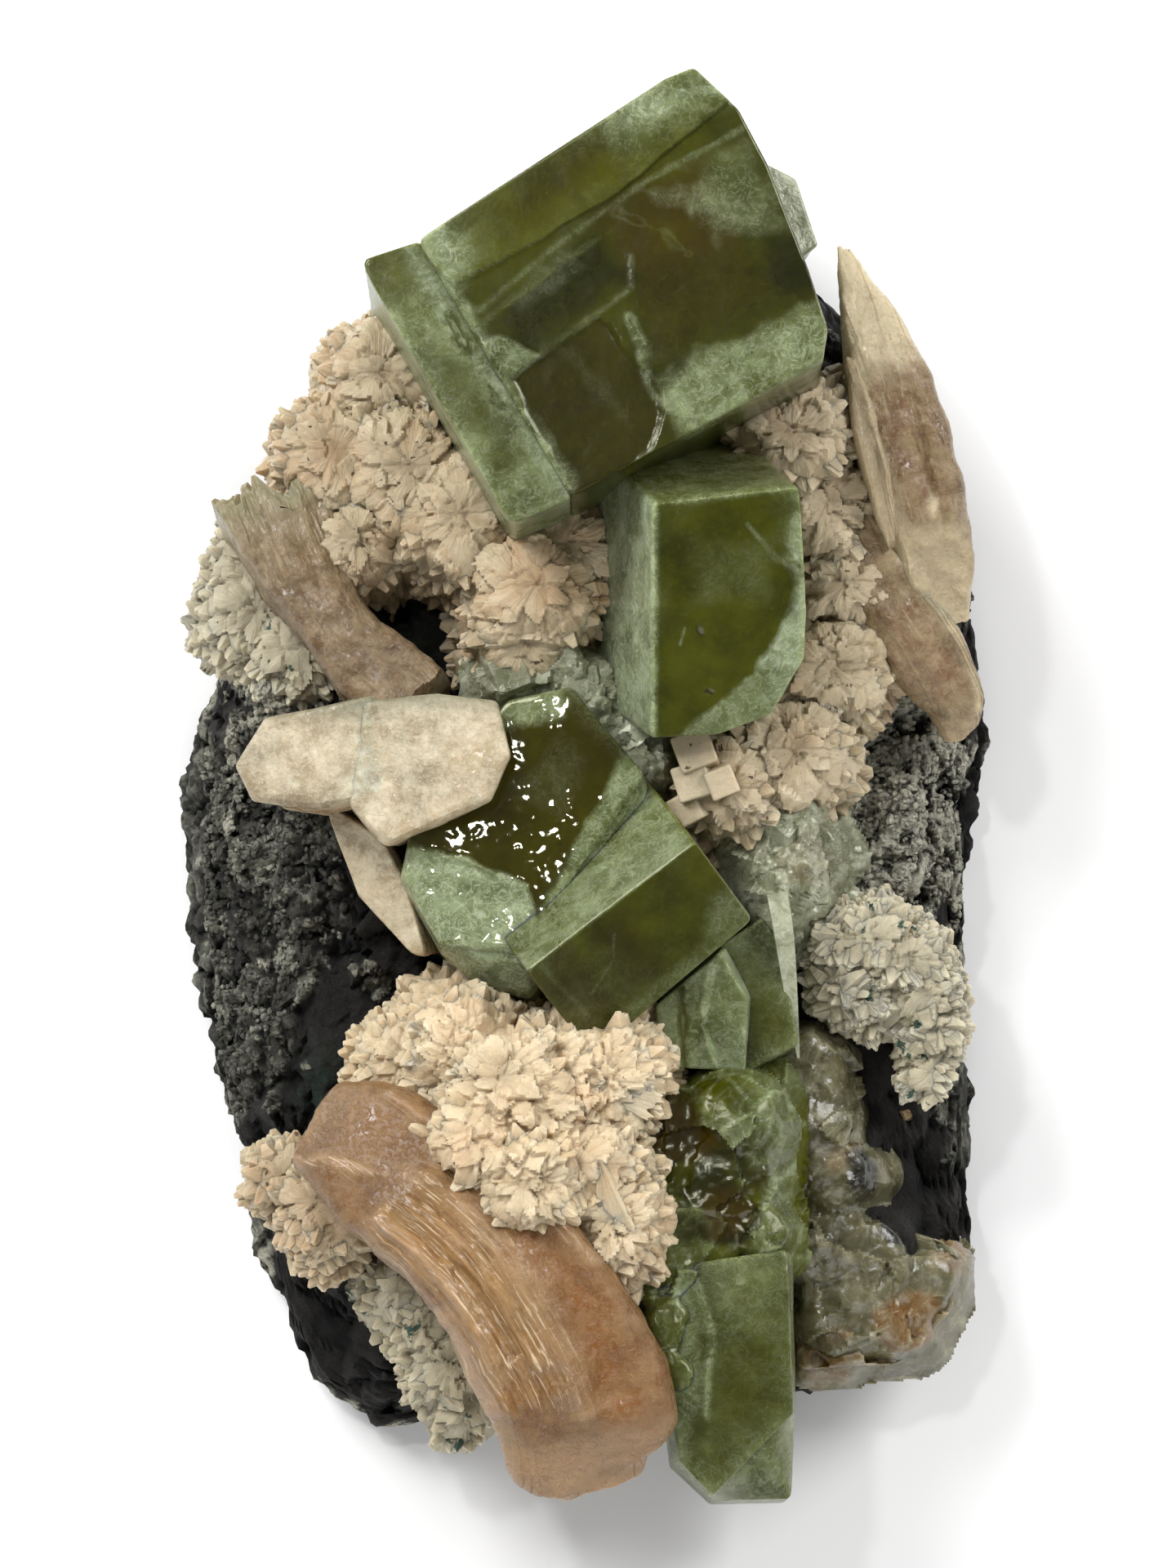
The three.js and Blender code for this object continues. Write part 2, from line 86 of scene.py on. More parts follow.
def cells(points, size, seed=0):
    # scattered seeds, one to a cube of the given size: distance to the nearest and the second nearest
    # as a share of size, a random number of the nearest, and the step from it to the point in mm
    q = points / size
    low = np.floor(q)
    first = np.full(points.shape[:-1], 9.0)
    second = first.copy()
    tone = np.zeros_like(first)
    step = np.zeros_like(points)
    for offset in itertools.product((-1, 0, 1), repeat=3):
        cube = low + offset
        seedPoint = cube + np.stack([hashed(cube, seed + axis) for axis in range(3)], axis=-1)
        away = q - seedPoint
        distance = np.linalg.norm(away, axis=-1)
        nearer = distance < first
        second = np.where(nearer, first, np.minimum(second, distance))
        tone = np.where(nearer, hashed(cube, seed + 7), tone)
        step = np.where(nearer[..., None], away * size, step)
        first = np.minimum(first, distance)
    return first, second, tone, step


def patches(x, y, spots):
    # soft round spots, given as x, y, radius and strength, the strongest at each point
    shares = [strength * np.exp(-(((x - a) ** 2 + (y - b) ** 2) / radius**2)) for a, b, radius,
              strength in spots]
    return np.max(shares, axis=0)


# Small vector helpers.

def unit(vectors):
    # each vector divided by its length
    vectors = np.asarray(vectors, float)
    return vectors / np.linalg.norm(vectors, axis=-1, keepdims=True)


def faceAxes(facing, along):
    # the face's own axes: its normal, the given direction laid into the face, and their cross product
    normal = unit(facing)
    across = np.asarray(along, float)
    across = unit(across - normal * (across @ normal))
    return normal, across, np.cross(normal, across)


def stacked(u, w, z=0.0):
    # points of those three coordinates; z may be one number for all
    return np.stack([u, w, np.broadcast_to(z, np.shape(u))], axis=-1)


def smoothPath(knots, count):
    # a Catmull-Rom curve through the knots, sampled evenly in its parameter; extra columns are carried along
    knots = np.asarray(knots, float)
    padded = np.vstack([2 * knots[0] - knots[1], knots, 2 * knots[-1] - knots[-2]])
    place = np.linspace(0, len(knots) - 1, count)
    start = np.minimum(place.astype(int), len(knots) - 2)
    t = (place - start)[:, None]
    a, b, c, d = (padded[start + i] for i in range(4))
    return 0.5 * (2 * b + (c - a) * t + (2 * a - 5 * b + 4 * c - d) * t**2 + (3 * b - a - 3 * c + d) * t**3)


# Meshes. A part is a dictionary: points in mm, quads, triangles, and values, which are one number or one
# vector for each point.

def sleeve(rings, values):
    # quads between closed rings that follow each other, and a fan to the middle of the first and the last
    rows, turns = rings.shape[:2]
    here = np.arange(rows * turns).reshape(rows, turns)
    beside = np.roll(here, -1, axis=1)
    quads = np.stack([here[:-1], beside[:-1], beside[1:], here[1:]], axis=-1).reshape(-1, 4)
    first, last = np.full(turns, rows * turns), np.full(turns, rows * turns + 1)
    fans = [np.stack([first, beside[0], here[0]], axis=-1), np.stack([last, here[-1], beside[-1]], axis=-1)]
    points = np.vstack([rings.reshape(-1, 3), rings[0].mean(0), rings[-1].mean(0)])
    spread = {}
    for name, value in values.items():
        flat = value.reshape((rows * turns,) + value.shape[2:])
        spread[name] = np.concatenate([flat, value[:1].mean(axis=1), value[-1:].mean(axis=1)])
    return outward({"points": points, "quads": quads, "triangles": np.vstack(fans), "values": spread})


def outward(part):
    # a closed shell is inside out when its corner-to-origin volumes add up to less than nothing
    quads, triangles, points = part["quads"], part["triangles"], part["points"]
    split = np.vstack([triangles, quads[:, [0, 1, 2]], quads[:, [0, 2, 3]]])
    a, b, c = (points[split[:, i]] for i in range(3))
    if np.einsum("ij,ij->", a, np.cross(b, c)) < 0:
        part["quads"], part["triangles"] = quads[:, ::-1], triangles[:, ::-1]
    return part


def addPiece(name, parts, material, nodes, crease=32):
    # every part's points, faces and values go into one mesh; edges sharper than the crease angle stay crisp
    starts = np.cumsum([0] + [len(part["points"]) for part in parts])
    points = (np.vstack([part["points"] for part in parts]) + layoutShift) * mm
    quads = np.vstack([part["quads"] + start for part, start in zip(parts, starts)])
    triangles = np.vstack([part["triangles"] + start for part, start in zip(parts, starts)])
    mesh = bpy.data.meshes.new(name)
    mesh.vertices.add(len(points))
    mesh.vertices.foreach_set("co", points.astype(np.float32).ravel())
    mesh.loops.add(quads.size + triangles.size)
    mesh.loops.foreach_set("vertex_index",
                           np.concatenate([quads.ravel(), triangles.ravel()]).astype(np.int32))
    mesh.polygons.add(len(quads) + len(triangles))
    quadStarts = 4 * np.arange(len(quads))
    triangleStarts = quads.size + 3 * np.arange(len(triangles))
    mesh.polygons.foreach_set("loop_start", np.concatenate([quadStarts, triangleStarts]).astype(np.int32))
    mesh.update(calc_edges=True)
    for key in parts[0]["values"]:
        value = np.concatenate([part["values"][key] for part in parts]).astype(np.float32)
        kind, field = ("FLOAT", "value") if value.ndim == 1 else ("FLOAT_VECTOR", "vector")
        mesh.attributes.new(key, kind, "POINT").data.foreach_set(field, value.ravel())
    mesh.polygons.foreach_set("use_smooth", np.ones(len(mesh.polygons), bool))
    mesh.set_sharp_from_angle(angle=radians(crease))
    mesh.materials.append(material)
    piece = bpy.data.objects.new(name, mesh)
    bpy.context.scene.collection.objects.link(piece)
    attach(piece, "root")
    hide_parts(*nodes)
    print(f"{name}: {len(quads) * 2 + len(triangles)} triangles")


# Materials.

def linear(colour):
    # sRGB hex to linear red, green and blue, with full alpha
    channels = (int(colour[i:i + 2], 16) / 255 for i in (1, 3, 5))
    return tuple(c / 12.92 if c <= 0.04045 else ((c + 0.055) / 1.055) ** 2.4 for c in channels) + (1.0,)


def addNode(tree, kind, *inputs, out=None, **settings):
    # inputs fill the sockets that the node shows, in their order; settings name a property or, with a
    # capital, a socket; a value is a number, a hex colour or another node's output; returns the first
    # output or the named one
    node = tree.nodes.new("ShaderNode" + kind)
    for key in [key for key in settings if key.islower()]:
        setattr(node, key, settings.pop(key))
    shown = [socket for socket in node.inputs if socket.enabled]
    for socket, value in [*zip(shown, inputs), *((node.inputs[key], settings[key]) for key in settings)]:
        if isinstance(value, bpy.types.NodeSocket):
            tree.links.new(value, socket)
        else:
            socket.default_value = linear(value) if isinstance(value, str) else value
    return node.outputs[out] if out else next((output for output in node.outputs if output.enabled), None)


def startMaterial(name, *attributes):
    # an empty material, what adds a node to it, the object's own coordinates, and the mesh's values of
    # those names
    material = bpy.data.materials.new(name)
    material.use_nodes = True
    material.node_tree.nodes.clear()
    add = partial(addNode, material.node_tree)
    shares = [add("Attribute", attribute_name=key, out="Fac") for key in attributes]
    return material, add, add("TexCoord", out="Object"), *shares


def finished(material, add, surface, relief=None, absorption=None):
    # a Principled surface; relief is a height, the mm from its 0 to its 1, and its strength; absorption is
    # the colour that light keeps inside, and how fast it fades in a metre
    if relief:
        height, depth, strength = relief
        surface = {**surface, "Normal": add("Bump", Height=height, Distance=depth * mm, Strength=strength)}
    ends = {"Surface": add("BsdfPrincipled", **surface)}
    if absorption:
        ends["Volume"] = add("VolumeAbsorption", *absorption)
    add("OutputMaterial", **ends)
    return material


def mottled(add, place, size, detail=4, rough=0.55, low=0.35, high=0.65, twist=0.0):
    # noise whose widest spots have the given size in mm, stretched from its usual low and high to 0 and 1
    noise = add("TexNoise", place, 1 / (size * mm), detail, rough, Distortion=twist)
    return add("MapRange", noise, low, high)


def crackLines(add, place, size, width, twist):
    # thin wandering lines: 1 where a twisted noise passes its middle value, 0 a little away from it
    twisted = mottled(add, place, size, 3, 0.6, 0.0, 1.0, twist)
    apart = add("Math", add("Math", twisted, 0.5, operation="SUBTRACT"), operation="ABSOLUTE")
    return add("MapRange", apart, 0.0, width, 1, 0)


def layered(add, colour, *layers):
    # each layer lies over those before it: where it is, how strong, and its colour
    for share, strength, top in layers:
        cover = share if strength == 1 else add("Math", share, strength, operation="MULTIPLY")
        colour = add("Mix", cover, colour, top, data_type="RGBA")
    return colour


def greenApophyllite():
    # apophyllite: glassy crystal, grown slowly in a cavity and cleaved in layers; olive green and clear
    # where it is sound, milky mint where fine cracks fill it; light that enters it glows a few mm around
    material, add, place, milk, warm, deep, gloss = startMaterial(
        "greenApophylliteCrystal", "milk", "warm", "deep", "gloss")
    wisps = mottled(add, place, 3.0, 8, 0.66, 0.36, 0.66, 0.5)
    flecks = mottled(add, place, 0.6, 4, 0.6, 0.6, 0.74)
    slow = mottled(add, place, 6, 6, 0.62, 0.36, 0.66)
    lace = mottled(add, place, 1.3, 9, 0.74, 0.52, 0.68, 1.4)
    worms = crackLines(add, place, 1.5, 0.035, 1.5)
    pits = mottled(add, place, 1.1, 4, 0.6, 0.3, 0.7)
    clouded = add("MapRange", milk, 0.12, 1.0)
    haze = add("Math", clouded, add("Math", wisps, 0.45, 0.62, operation="MULTIPLY_ADD"),
               operation="MULTIPLY")
    laced = add("Math", lace, 0.6, 0.15, operation="MULTIPLY_ADD")
    frosted = add("Math", add("MapRange", milk, 0.84, 1.0), laced, operation="MULTIPLY")
    whites = add("Math", add("Math", flecks, lace, operation="MAXIMUM"), worms, operation="MAXIMUM")
    whites = add("Math", whites, clouded, operation="MULTIPLY")
    mint = layered(add, "#626e49", (wisps, 1, "#929e79"))
    colour = layered(
        add, "#424500", (slow, 1, "#666a0c"), (lace, 0.16, "#888c22"), (flecks, 0.2, "#8a8f2c"),
        (deep, 0.9, "#1e1e02"), (warm, 0.75, "#4d3b03"), (haze, 1, mint), (frosted, 1, "#aeb79c"),
        (whites, 0.5, "#ccd2b6"))
    dull = add("Math", haze, 0.14, 0.2, operation="MULTIPLY_ADD")
    unpolished = add("Math", gloss, -0.8, 1.0, operation="MULTIPLY_ADD")
    return finished(material, add, {
        "Base Color": colour, "Transmission Weight": add("MapRange", haze, 0, 1, 0.5, 0.2), "IOR": 1.535,
        "Roughness": add("Mix", gloss, dull, 0.05, data_type="FLOAT"), "Specular IOR Level": 0.18,
        "Specular Tint": (1.0, 1.0, 0.8, 1.0), "Subsurface Weight": 1.0, "Subsurface Radius": (1.0, 1.0, 0.4),
        "Subsurface Scale": 1.2 * mm,
    }, (add("Math", pits, unpolished, operation="MULTIPLY"), 0.025, 0.6), ((0.84, 0.82, 0.25, 1.0), 90.0))


def clearApophyllite():
    # apophyllite with hardly any colour: small glassy prisms, whitish where cracked, brown where stained
    material, add, place, milk, warm = startMaterial("clearApophylliteCrystal", "milk", "warm")
    wisps = mottled(add, place, 1.6, 5, 0.65, 0.36, 0.66, 0.8)
    cracks = crackLines(add, place, 1.6, 0.03, 1.6)
    haze = add("Math", milk, add("Math", wisps, 0.6, 0.5, operation="MULTIPLY_ADD"), operation="MULTIPLY")
    colour = layered(
        add, "#83865f", (wisps, 1, "#a8aa88"), (warm, 0.8, "#7a6338"), (haze, 1, "#c6c9b0"),
        (cracks, 0.6, "#dddfcc"))
    return finished(material, add, {
        "Base Color": colour, "Transmission Weight": add("MapRange", haze, 0, 1, 0.6, 0.25), "IOR": 1.535,
        "Roughness": add("MapRange", wisps, 0, 1, 0.06, 0.24), "Specular IOR Level": 0.35,
        "Specular Tint": (0.95, 1.0, 0.85, 1.0),
    }, (mottled(add, place, 0.6, 4, 0.6), 0.05, 0.6), ((0.85, 0.88, 0.75, 1.0), 20.0))


def glassyCrust():
    # broken, intergrown crystals stained by iron: olive tan and glassy, white along the breaks, amber in
    # places
    material, add, place, milk, warm, deep = startMaterial("glassyCrustCrystal", "milk", "warm", "deep")
    slow = mottled(add, place, 5, 5, 0.6, 0.36, 0.66)
    wisps = mottled(add, place, 2.2, 7, 0.7, 0.38, 0.64, 1.0)
    flecks = mottled(add, place, 0.5, 4, 0.6, 0.6, 0.72)
    haze = add("Math", milk, wisps, operation="MULTIPLY")
    colour = layered(
        add, "#4f4d2c", (slow, 1, "#7f7a55"), (warm, 1, "#8f6630"), (deep, 1, "#1d1c15"),
        (haze, 1, "#a8a48a"), (flecks, 0.35, "#d2cfbc"))
    return finished(material, add, {
        "Base Color": colour, "Transmission Weight": add("MapRange", haze, 0, 1, 0.5, 0.2), "IOR": 1.535,
        "Roughness": add("MapRange", wisps, 0, 1, 0.1, 0.3), "Specular IOR Level": 0.35,
        "Subsurface Weight": 0.8, "Subsurface Radius": (1.0, 0.9, 0.6), "Subsurface Scale": 1.2 * mm,
    }, (mottled(add, place, 0.9, 5, 0.6), 0.04, 0.7), ((0.85, 0.82, 0.6, 1.0), 50.0))


def stilbite(name, colours):
    # stilbite: pearly crystal grown as a sheaf of thin blades; satin along the blades, where fine steps
    # between them catch the light: lighter streaks of painted sheen and thin near-white lines of painted
    # glints run along them, over raised relief; an orange glow is painted where light would pass through;
    # soft underneath, where light goes in a millimetre or two
    material, add, place, fringe, rind, glow, even, shine = startMaterial(
        name, "fringe", "rind", "glow", "even", "shine")
    grain = add("Attribute", attribute_name="grain", out="Vector")
    blades = mottled(add, add("Mapping", grain, Scale=(1.0, 0.06, 1.0)), 0.4, 3, 0.6, 0.34, 0.66)
    paintedGlintLines = mottled(add, add("Mapping", grain, Scale=(1.0, 0.035, 1.0)), 0.3, 3, 0.6, 0.56, 0.68)
    slow = mottled(add, place, 5, 6, 0.62, 0.36, 0.64)
    frost = mottled(add, place, 2.2, 9, 0.76, 0.42, 0.64, 0.2)
    grit = mottled(add, place, 0.4, 4, 0.65, 0.5, 0.72)
    # painted sheen: lighter streaks along the blades, stronger where the shine value is set, and thin
    # near-white painted glints along them
    sheenStreaks = add("Math", shine, 0.5, 0.16, operation="MULTIPLY_ADD")
    uneven = add("Math", even, -0.8, 1.0, operation="MULTIPLY_ADD")
    sheenStreaks = add("Math", add("Math", sheenStreaks, uneven, operation="MULTIPLY"), blades, operation="MULTIPLY")
    lines = add("Math", paintedGlintLines, shine, operation="MULTIPLY")
    colour = layered(
        add, colours["body"], (slow, 1, colours["second"]), (sheenStreaks, 1, colours["sheenStreak"]),
        (glow, 1, colours["glow"]), (rind, 1, colours["rind"]), (frost, colours["frosted"], colours["frost"]),
        (grit, 0.5, colours["frost"]), (fringe, 0.8, colours["fringe"]), (lines, 0.6, colours["paintedGlint"]))
    relief = add("Math", sheenStreaks, 0.7, lines, operation="MULTIPLY_ADD")
    relief = add("Math", grit, 0.7, relief, operation="MULTIPLY_ADD")
    relief = add("Math", frost, 0.25, relief, operation="MULTIPLY_ADD")
    silky = add("Math", shine, -0.6, 1.0, operation="MULTIPLY_ADD")
    rough = add("MapRange", frost, 0, 1, 0.2, 0.5)
    return finished(material, add, {
        "Base Color": colour, "Roughness": add("Mix", shine, rough, 0.12, data_type="FLOAT"), "IOR": 1.5,
        "Specular IOR Level": 0.45, "Subsurface Weight": colours["scatter"],
        "Subsurface Radius": (1.0, 0.55, 0.35), "Subsurface Scale": 1.6 * mm,
    }, (add("Math", relief, silky, operation="MULTIPLY"), 0.14, 0.8))


def heulandite(name, colours):
    # heulandite: small pearly plates grown together edge to edge; cream with peach patches; painted shade
    # in a browner colour darkens the gaps and the roots of the plates, their thin tips stay lighter, and
    # light passes through them softly; a few specks of dark dust
    material, add, place, tip, tone, across, along = startMaterial(name, "tip", "tone", "across", "along")
    slow = mottled(add, place, 7, 5, 0.6, 0.34, 0.54)
    grit = mottled(add, place, 0.5, 5, 0.7, 0.34, 0.7)
    dustLevel = 0.7 - 0.03 * colours["dustSize"]
    dust = mottled(add, place, colours["dustSize"], 4, 0.6, dustLevel, dustLevel + 0.03)
    laid = add("Mapping", add("CombineXYZ", across, along, tone), Scale=(mm, 0.07 * mm, mm))
    plies = mottled(add, laid, 0.45, 4, 0.65, 0.36, 0.64)
    colour = layered(
        add, colours["body"], (slow, 1, colours["second"]), (tone, 0.55, colours["pale"]),
        (plies, 0.4, colours["pale"]), (grit, 0.2, colours["gap"]))
    # the darker brown under the plates' colour is painted shade in the gaps and at the roots, where tip is
    # low; the tips keep the plates' own colour, and fine grit uses the same brown
    colour = layered(add, colours["gap"], (tip, 1, colour), (dust, 1, colours["dust"]))
    return finished(material, add, {
        "Base Color": colour, "Roughness": add("MapRange", grit, 0, 1, 0.3, 0.55), "IOR": 1.498,
        "Subsurface Weight": 0.6, "Subsurface Radius": (1.0, 0.86, 0.7), "Subsurface Scale": 1.0 * mm,
    }, (add("Math", grit, 0.5, plies, operation="MULTIPLY_ADD"), 0.14, 0.8))


def basalt():
    # basalt: fine-grained black lava, rough where it broke, with grey weathered grains of about 0.75 mm,
    # a thin whitish mineral coat in places and dark green celadonite round its pits; painted shade turns its
    # pits, cracks, seams and hollows near black
    material, add, place, pale, coat, celadon, hollowShade = startMaterial(
        "brokenBasalt", "pale", "coat", "celadon", "hollowShade")
    grains = add("TexVoronoi", place, 1 / (0.75 * mm), out="Distance")
    grainTone = add("SeparateColor", grains.node.outputs["Color"])
    mottle = mottled(add, place, 1.1, 6, 0.7, 0.38, 0.64)
    fine = mottled(add, place, 0.35, 5, 0.7, 0.34, 0.68)
    grey = layered(add, "#55554a", (grainTone, 1, "#c4c4b2"), (fine, 0.4, "#2c2b26"))
    whitish = layered(add, "#a09e8b", (fine, 1, "#e2dfcc"))
    weathering = add("Math", mottle, 1.1, 0.4, operation="MULTIPLY_ADD")
    # the last layer is painted shade: near black in the pits, cracks, seams and hollows that the mesh marks
    colour = layered(
        add, "#0f0e0d", (fine, 1, "#2f2c28"), (add("Math", pale, weathering, operation="MULTIPLY"), 1, grey),
        (add("Math", coat, add("MapRange", mottle, 0.0, 0.5), operation="MULTIPLY"), 1, whitish),
        (add("Math", celadon, mottle, operation="MULTIPLY"), 1, "#26493a"), (hollowShade, 1, "#070606"))
    return finished(material, add, {
        "Base Color": colour, "Roughness": add("MapRange", fine, 0, 1, 0.6, 0.95), "IOR": 1.5,
        "Specular IOR Level": 0.35,
    }, (add("Math", grains, 0.6, fine, operation="MULTIPLY_ADD"), 0.3, 0.9))


materials = {
    "green": greenApophyllite(),
    "clear": clearApophyllite(),
    "glassy": glassyCrust(),
    "heulandite": heulandite("heulanditePlates", {
        "body": "#b9956f", "second": "#b6a586", "pale": "#dbd0b4", "gap": "#a08a68", "dust": "#5a4832",
        "dustSize": 1.2,
    }),
    "brightHeulandite": heulandite("heulanditeRosette", {
        "body": "#c8a47c", "second": "#cdb996", "pale": "#e4d8bc", "gap": "#b2946c", "dust": "#7a6248",
        "dustSize": 1.0,
    }),
    "stainedHeulandite": heulandite("weatheredHeulandite", {
        "body": "#a2967a", "second": "#b3aa8e", "pale": "#d6ceb6", "gap": "#7f765e", "dust": "#30493b",
        "dustSize": 2.4,
    }),
    "basalt": basalt(),
    "peach": stilbite("peachStilbiteBlades", {
        "body": "#573b1d", "second": "#704c27", "sheenStreak": "#ab875a", "glow": "#7c4e20", "rind": "#745431",
        "frost": "#9b7d54", "frosted": 0.5, "fringe": "#ab9070", "paintedGlint": "#ead4b4", "scatter": 0.3,
    }),
    "cream": stilbite("creamStilbiteTablets", {
        "body": "#82765c", "second": "#aa9878", "sheenStreak": "#b8aa8a", "glow": "#b08458", "rind": "#a0815a",
        "frost": "#dad0b6", "frosted": 0.7, "fringe": "#73725c", "paintedGlint": "#d8ceb4", "scatter": 0.35,
    }),
    "rose": stilbite("roseStilbiteBlades", {
        "body": "#4e3c28", "second": "#6b543b", "sheenStreak": "#94795a", "glow": "#6d4f36", "rind": "#75604a",
        "frost": "#a08c6c", "frosted": 0.6, "fringe": "#8f8b6c", "paintedGlint": "#b8a888", "scatter": 0.3,
    }),
    "sand": stilbite("sandStilbiteBlades", {
        "body": "#58432d", "second": "#6f593d", "sheenStreak": "#9c8662", "glow": "#704a30", "rind": "#806b4d",
        "frost": "#a7946f", "frosted": 0.6, "fringe": "#d6c8a6", "paintedGlint": "#d8c9a6", "scatter": 0.3,
    }),
}
print("materials made")


# Crystal blocks.

def outlineReach(corners, middle, angles):
    # how far a straight-sided outline is from its middle in each direction: the nearest side that the ray
    # meets
    start = np.asarray(corners, float) - middle
    side = np.roll(start, -1, axis=0) - start
    ray = np.stack([np.cos(angles), np.sin(angles)], axis=-1)[:, None]
    crossing = ray[..., 0] * side[:, 1] - ray[..., 1] * side[:, 0]
    crossing = np.where(np.abs(crossing) < 1e-9, 1e-9, crossing)
    reach = (start[:, 0] * side[:, 1] - start[:, 1] * side[:, 0]) / crossing
    share = (start[:, 0] * ray[..., 1] - start[:, 1] * ray[..., 0]) / crossing
    met = (share > -1e-6) & (share < 1 + 1e-6) & (reach > 0)
    return np.where(met, reach, np.inf).min(axis=1)


def wornCorners(reach, passes):
    # each pass averages a direction with its two neighbours, which rounds the outline's corners a little
    for _ in range(passes):
        reach = 0.5 * reach + 0.25 * (np.roll(reach, 1) + np.roll(reach, -1))
    return reach


def featureShare(u, w, feature, seed):
    # 1 inside a patch with straight sides or on a line, 0 well away, eased over its soft edge; ragged edges
    # wander by that many mm
    wander = feature.get("ragged", 0.0) * cloud(stacked(u, w, seed * 3.1), 2.4, 4, seed)
    if "patch" in feature:
        corners = np.asarray(feature["patch"], float)
        side = unit(np.roll(corners, -1, axis=0) - corners)
        inward = np.stack([-side[:, 1], side[:, 0]], axis=-1)
        turn = np.sign(np.sum(np.cross(corners, np.roll(corners, -1, axis=0))))
        gaps = [((u - c[0]) * n[0] + (w - c[1]) * n[1]) * turn for c, n in zip(corners, inward)]
        return eased((np.min(gaps, axis=0) + wander) / feature.get("soft", 0.3) + 0.5)
    knots = np.asarray(feature["line"], float)
    distance = np.full(np.shape(u), np.inf)
    for start, end in zip(knots[:-1], knots[1:]):
        side = end - start
        along = np.clip(((u - start[0]) * side[0] + (w - start[1]) * side[1]) / (side @ side), 0, 1)
        awayU, awayW = u - start[0] - along * side[0], w - start[1] - along * side[1]
        distance = np.minimum(distance, np.hypot(awayU, awayW))
    return np.exp(-(((distance + wander) / feature["width"]) ** 2))


def shatter(points, size, seed):
    # broken glass: each scattered cell is a plane tilted its own way and set at its own height; also 1 on
    # the edges between cells
    nearest, second, tone, step = cells(points, size, seed + 21)
    turn = tone * 40
    slope = np.stack([np.cos(turn), np.sin(turn)], axis=-1)
    shards = (step[..., :2] * slope).sum(-1) / size + 0.9 * (tone * 7 % 1 - 0.5)
    return shards, np.exp(-(((second - nearest) / 0.07) ** 2))


def slab(points, bottom, solid, values):
    # the kept cells of a grid of points, the same cells level at the bottom, and walls round their edge
    rows, columns = points.shape[:2]
    here = np.arange(rows * columns).reshape(rows, columns)
    below = rows * columns
    quads = np.stack([here[:-1, :-1], here[1:, :-1], here[1:, 1:], here[:-1, 1:]], axis=-1)
    faces = [quads[solid], quads[solid][:, ::-1] + below]
    framed = np.pad(solid, 1)
    for side, (rowStep, columnStep) in enumerate(((0, -1), (1, 0), (0, 1), (-1, 0))):
        beside = framed[1 + rowStep:rows + rowStep, 1 + columnStep:columns + columnStep]
        edge = quads[solid & ~beside]
        start, end = edge[:, side], edge[:, (side + 1) % 4]
        faces.append(np.stack([end, start, start + below, end + below], axis=-1))
    quads = np.vstack(faces)
    lower = points.reshape(-1, 3).copy()
    lower[:, 2] = bottom
    used, quads = np.unique(quads, return_inverse=True)
    spread = {name: np.concatenate([value.ravel()] * 2)[used] for name, value in values.items()}
    return outward({"points": np.vstack([points.reshape(-1, 3), lower])[used], "quads": quads.reshape(-1, 4),
                    "triangles": np.zeros((0, 3), int), "values": spread})


def grownHeights(lumps, look, seed):
    # the highest of the lumps' balls over a fine grid, eased where they meet, with a steep skirt down to a
    # level bottom; the grid is warped a little, so no lump stays round
    lumps = np.array(lumps, float)
    low = (lumps[:, :2] - lumps[:, 3:]).min(axis=0) - 2.5
    high = (lumps[:, :2] + lumps[:, 3:]).max(axis=0) + 2.5
    x, y = np.meshgrid(*(np.arange(*ends, look["spacing"]) for ends in zip(low, high)), indexing="ij")
    flat = stacked(x, y)
    warpX = x + look["warp"] * cloud(flat, 4.5, 3, seed + 1)
    warpY = y + look["warp"] * cloud(flat, 4.5, 3, seed + 2)
    total = 0
    for middleX, middleY, top, radius in lumps:
        away = np.hypot(warpX - middleX, warpY - middleY)
        bend = 0.9 * radius  # where the ball's own slope gives way to the skirt's
        dome = np.where(away < bend, np.sqrt(np.maximum(radius**2 - away**2, 0)), radius * (1 - 0.81) ** 0.5)
        ball = radius + (dome - radius) * look["dome"] - look["skirt"] * np.maximum(away - bend, 0)
        total = total + np.exp(look["join"] * (top - radius + ball))
    height = np.log(total) / look["join"] - 0.35 + 0.6 * cloud(flat, 3.5, 3, seed + 3)
    bottom = (lumps[:, 2] - 2 * lumps[:, 3]).min() - 1.0
    height = np.maximum(height, bottom)
    slopeX, slopeY = np.gradient(height, look["spacing"])
    normals = unit(np.stack([-slopeX, -slopeY, np.ones_like(x)], axis=-1))
    return stacked(x, y, height), normals, bottom


def coveredCells(height, bottom):
    # the points that stand over the bottom, and the grid's cells with at least one of them
    kept = height > bottom + 0.02
    return kept, kept[:-1, :-1] | kept[1:, :-1] | kept[:-1, 1:] | kept[1:, 1:]


noSpots = [(0, 0, 1, 0)]


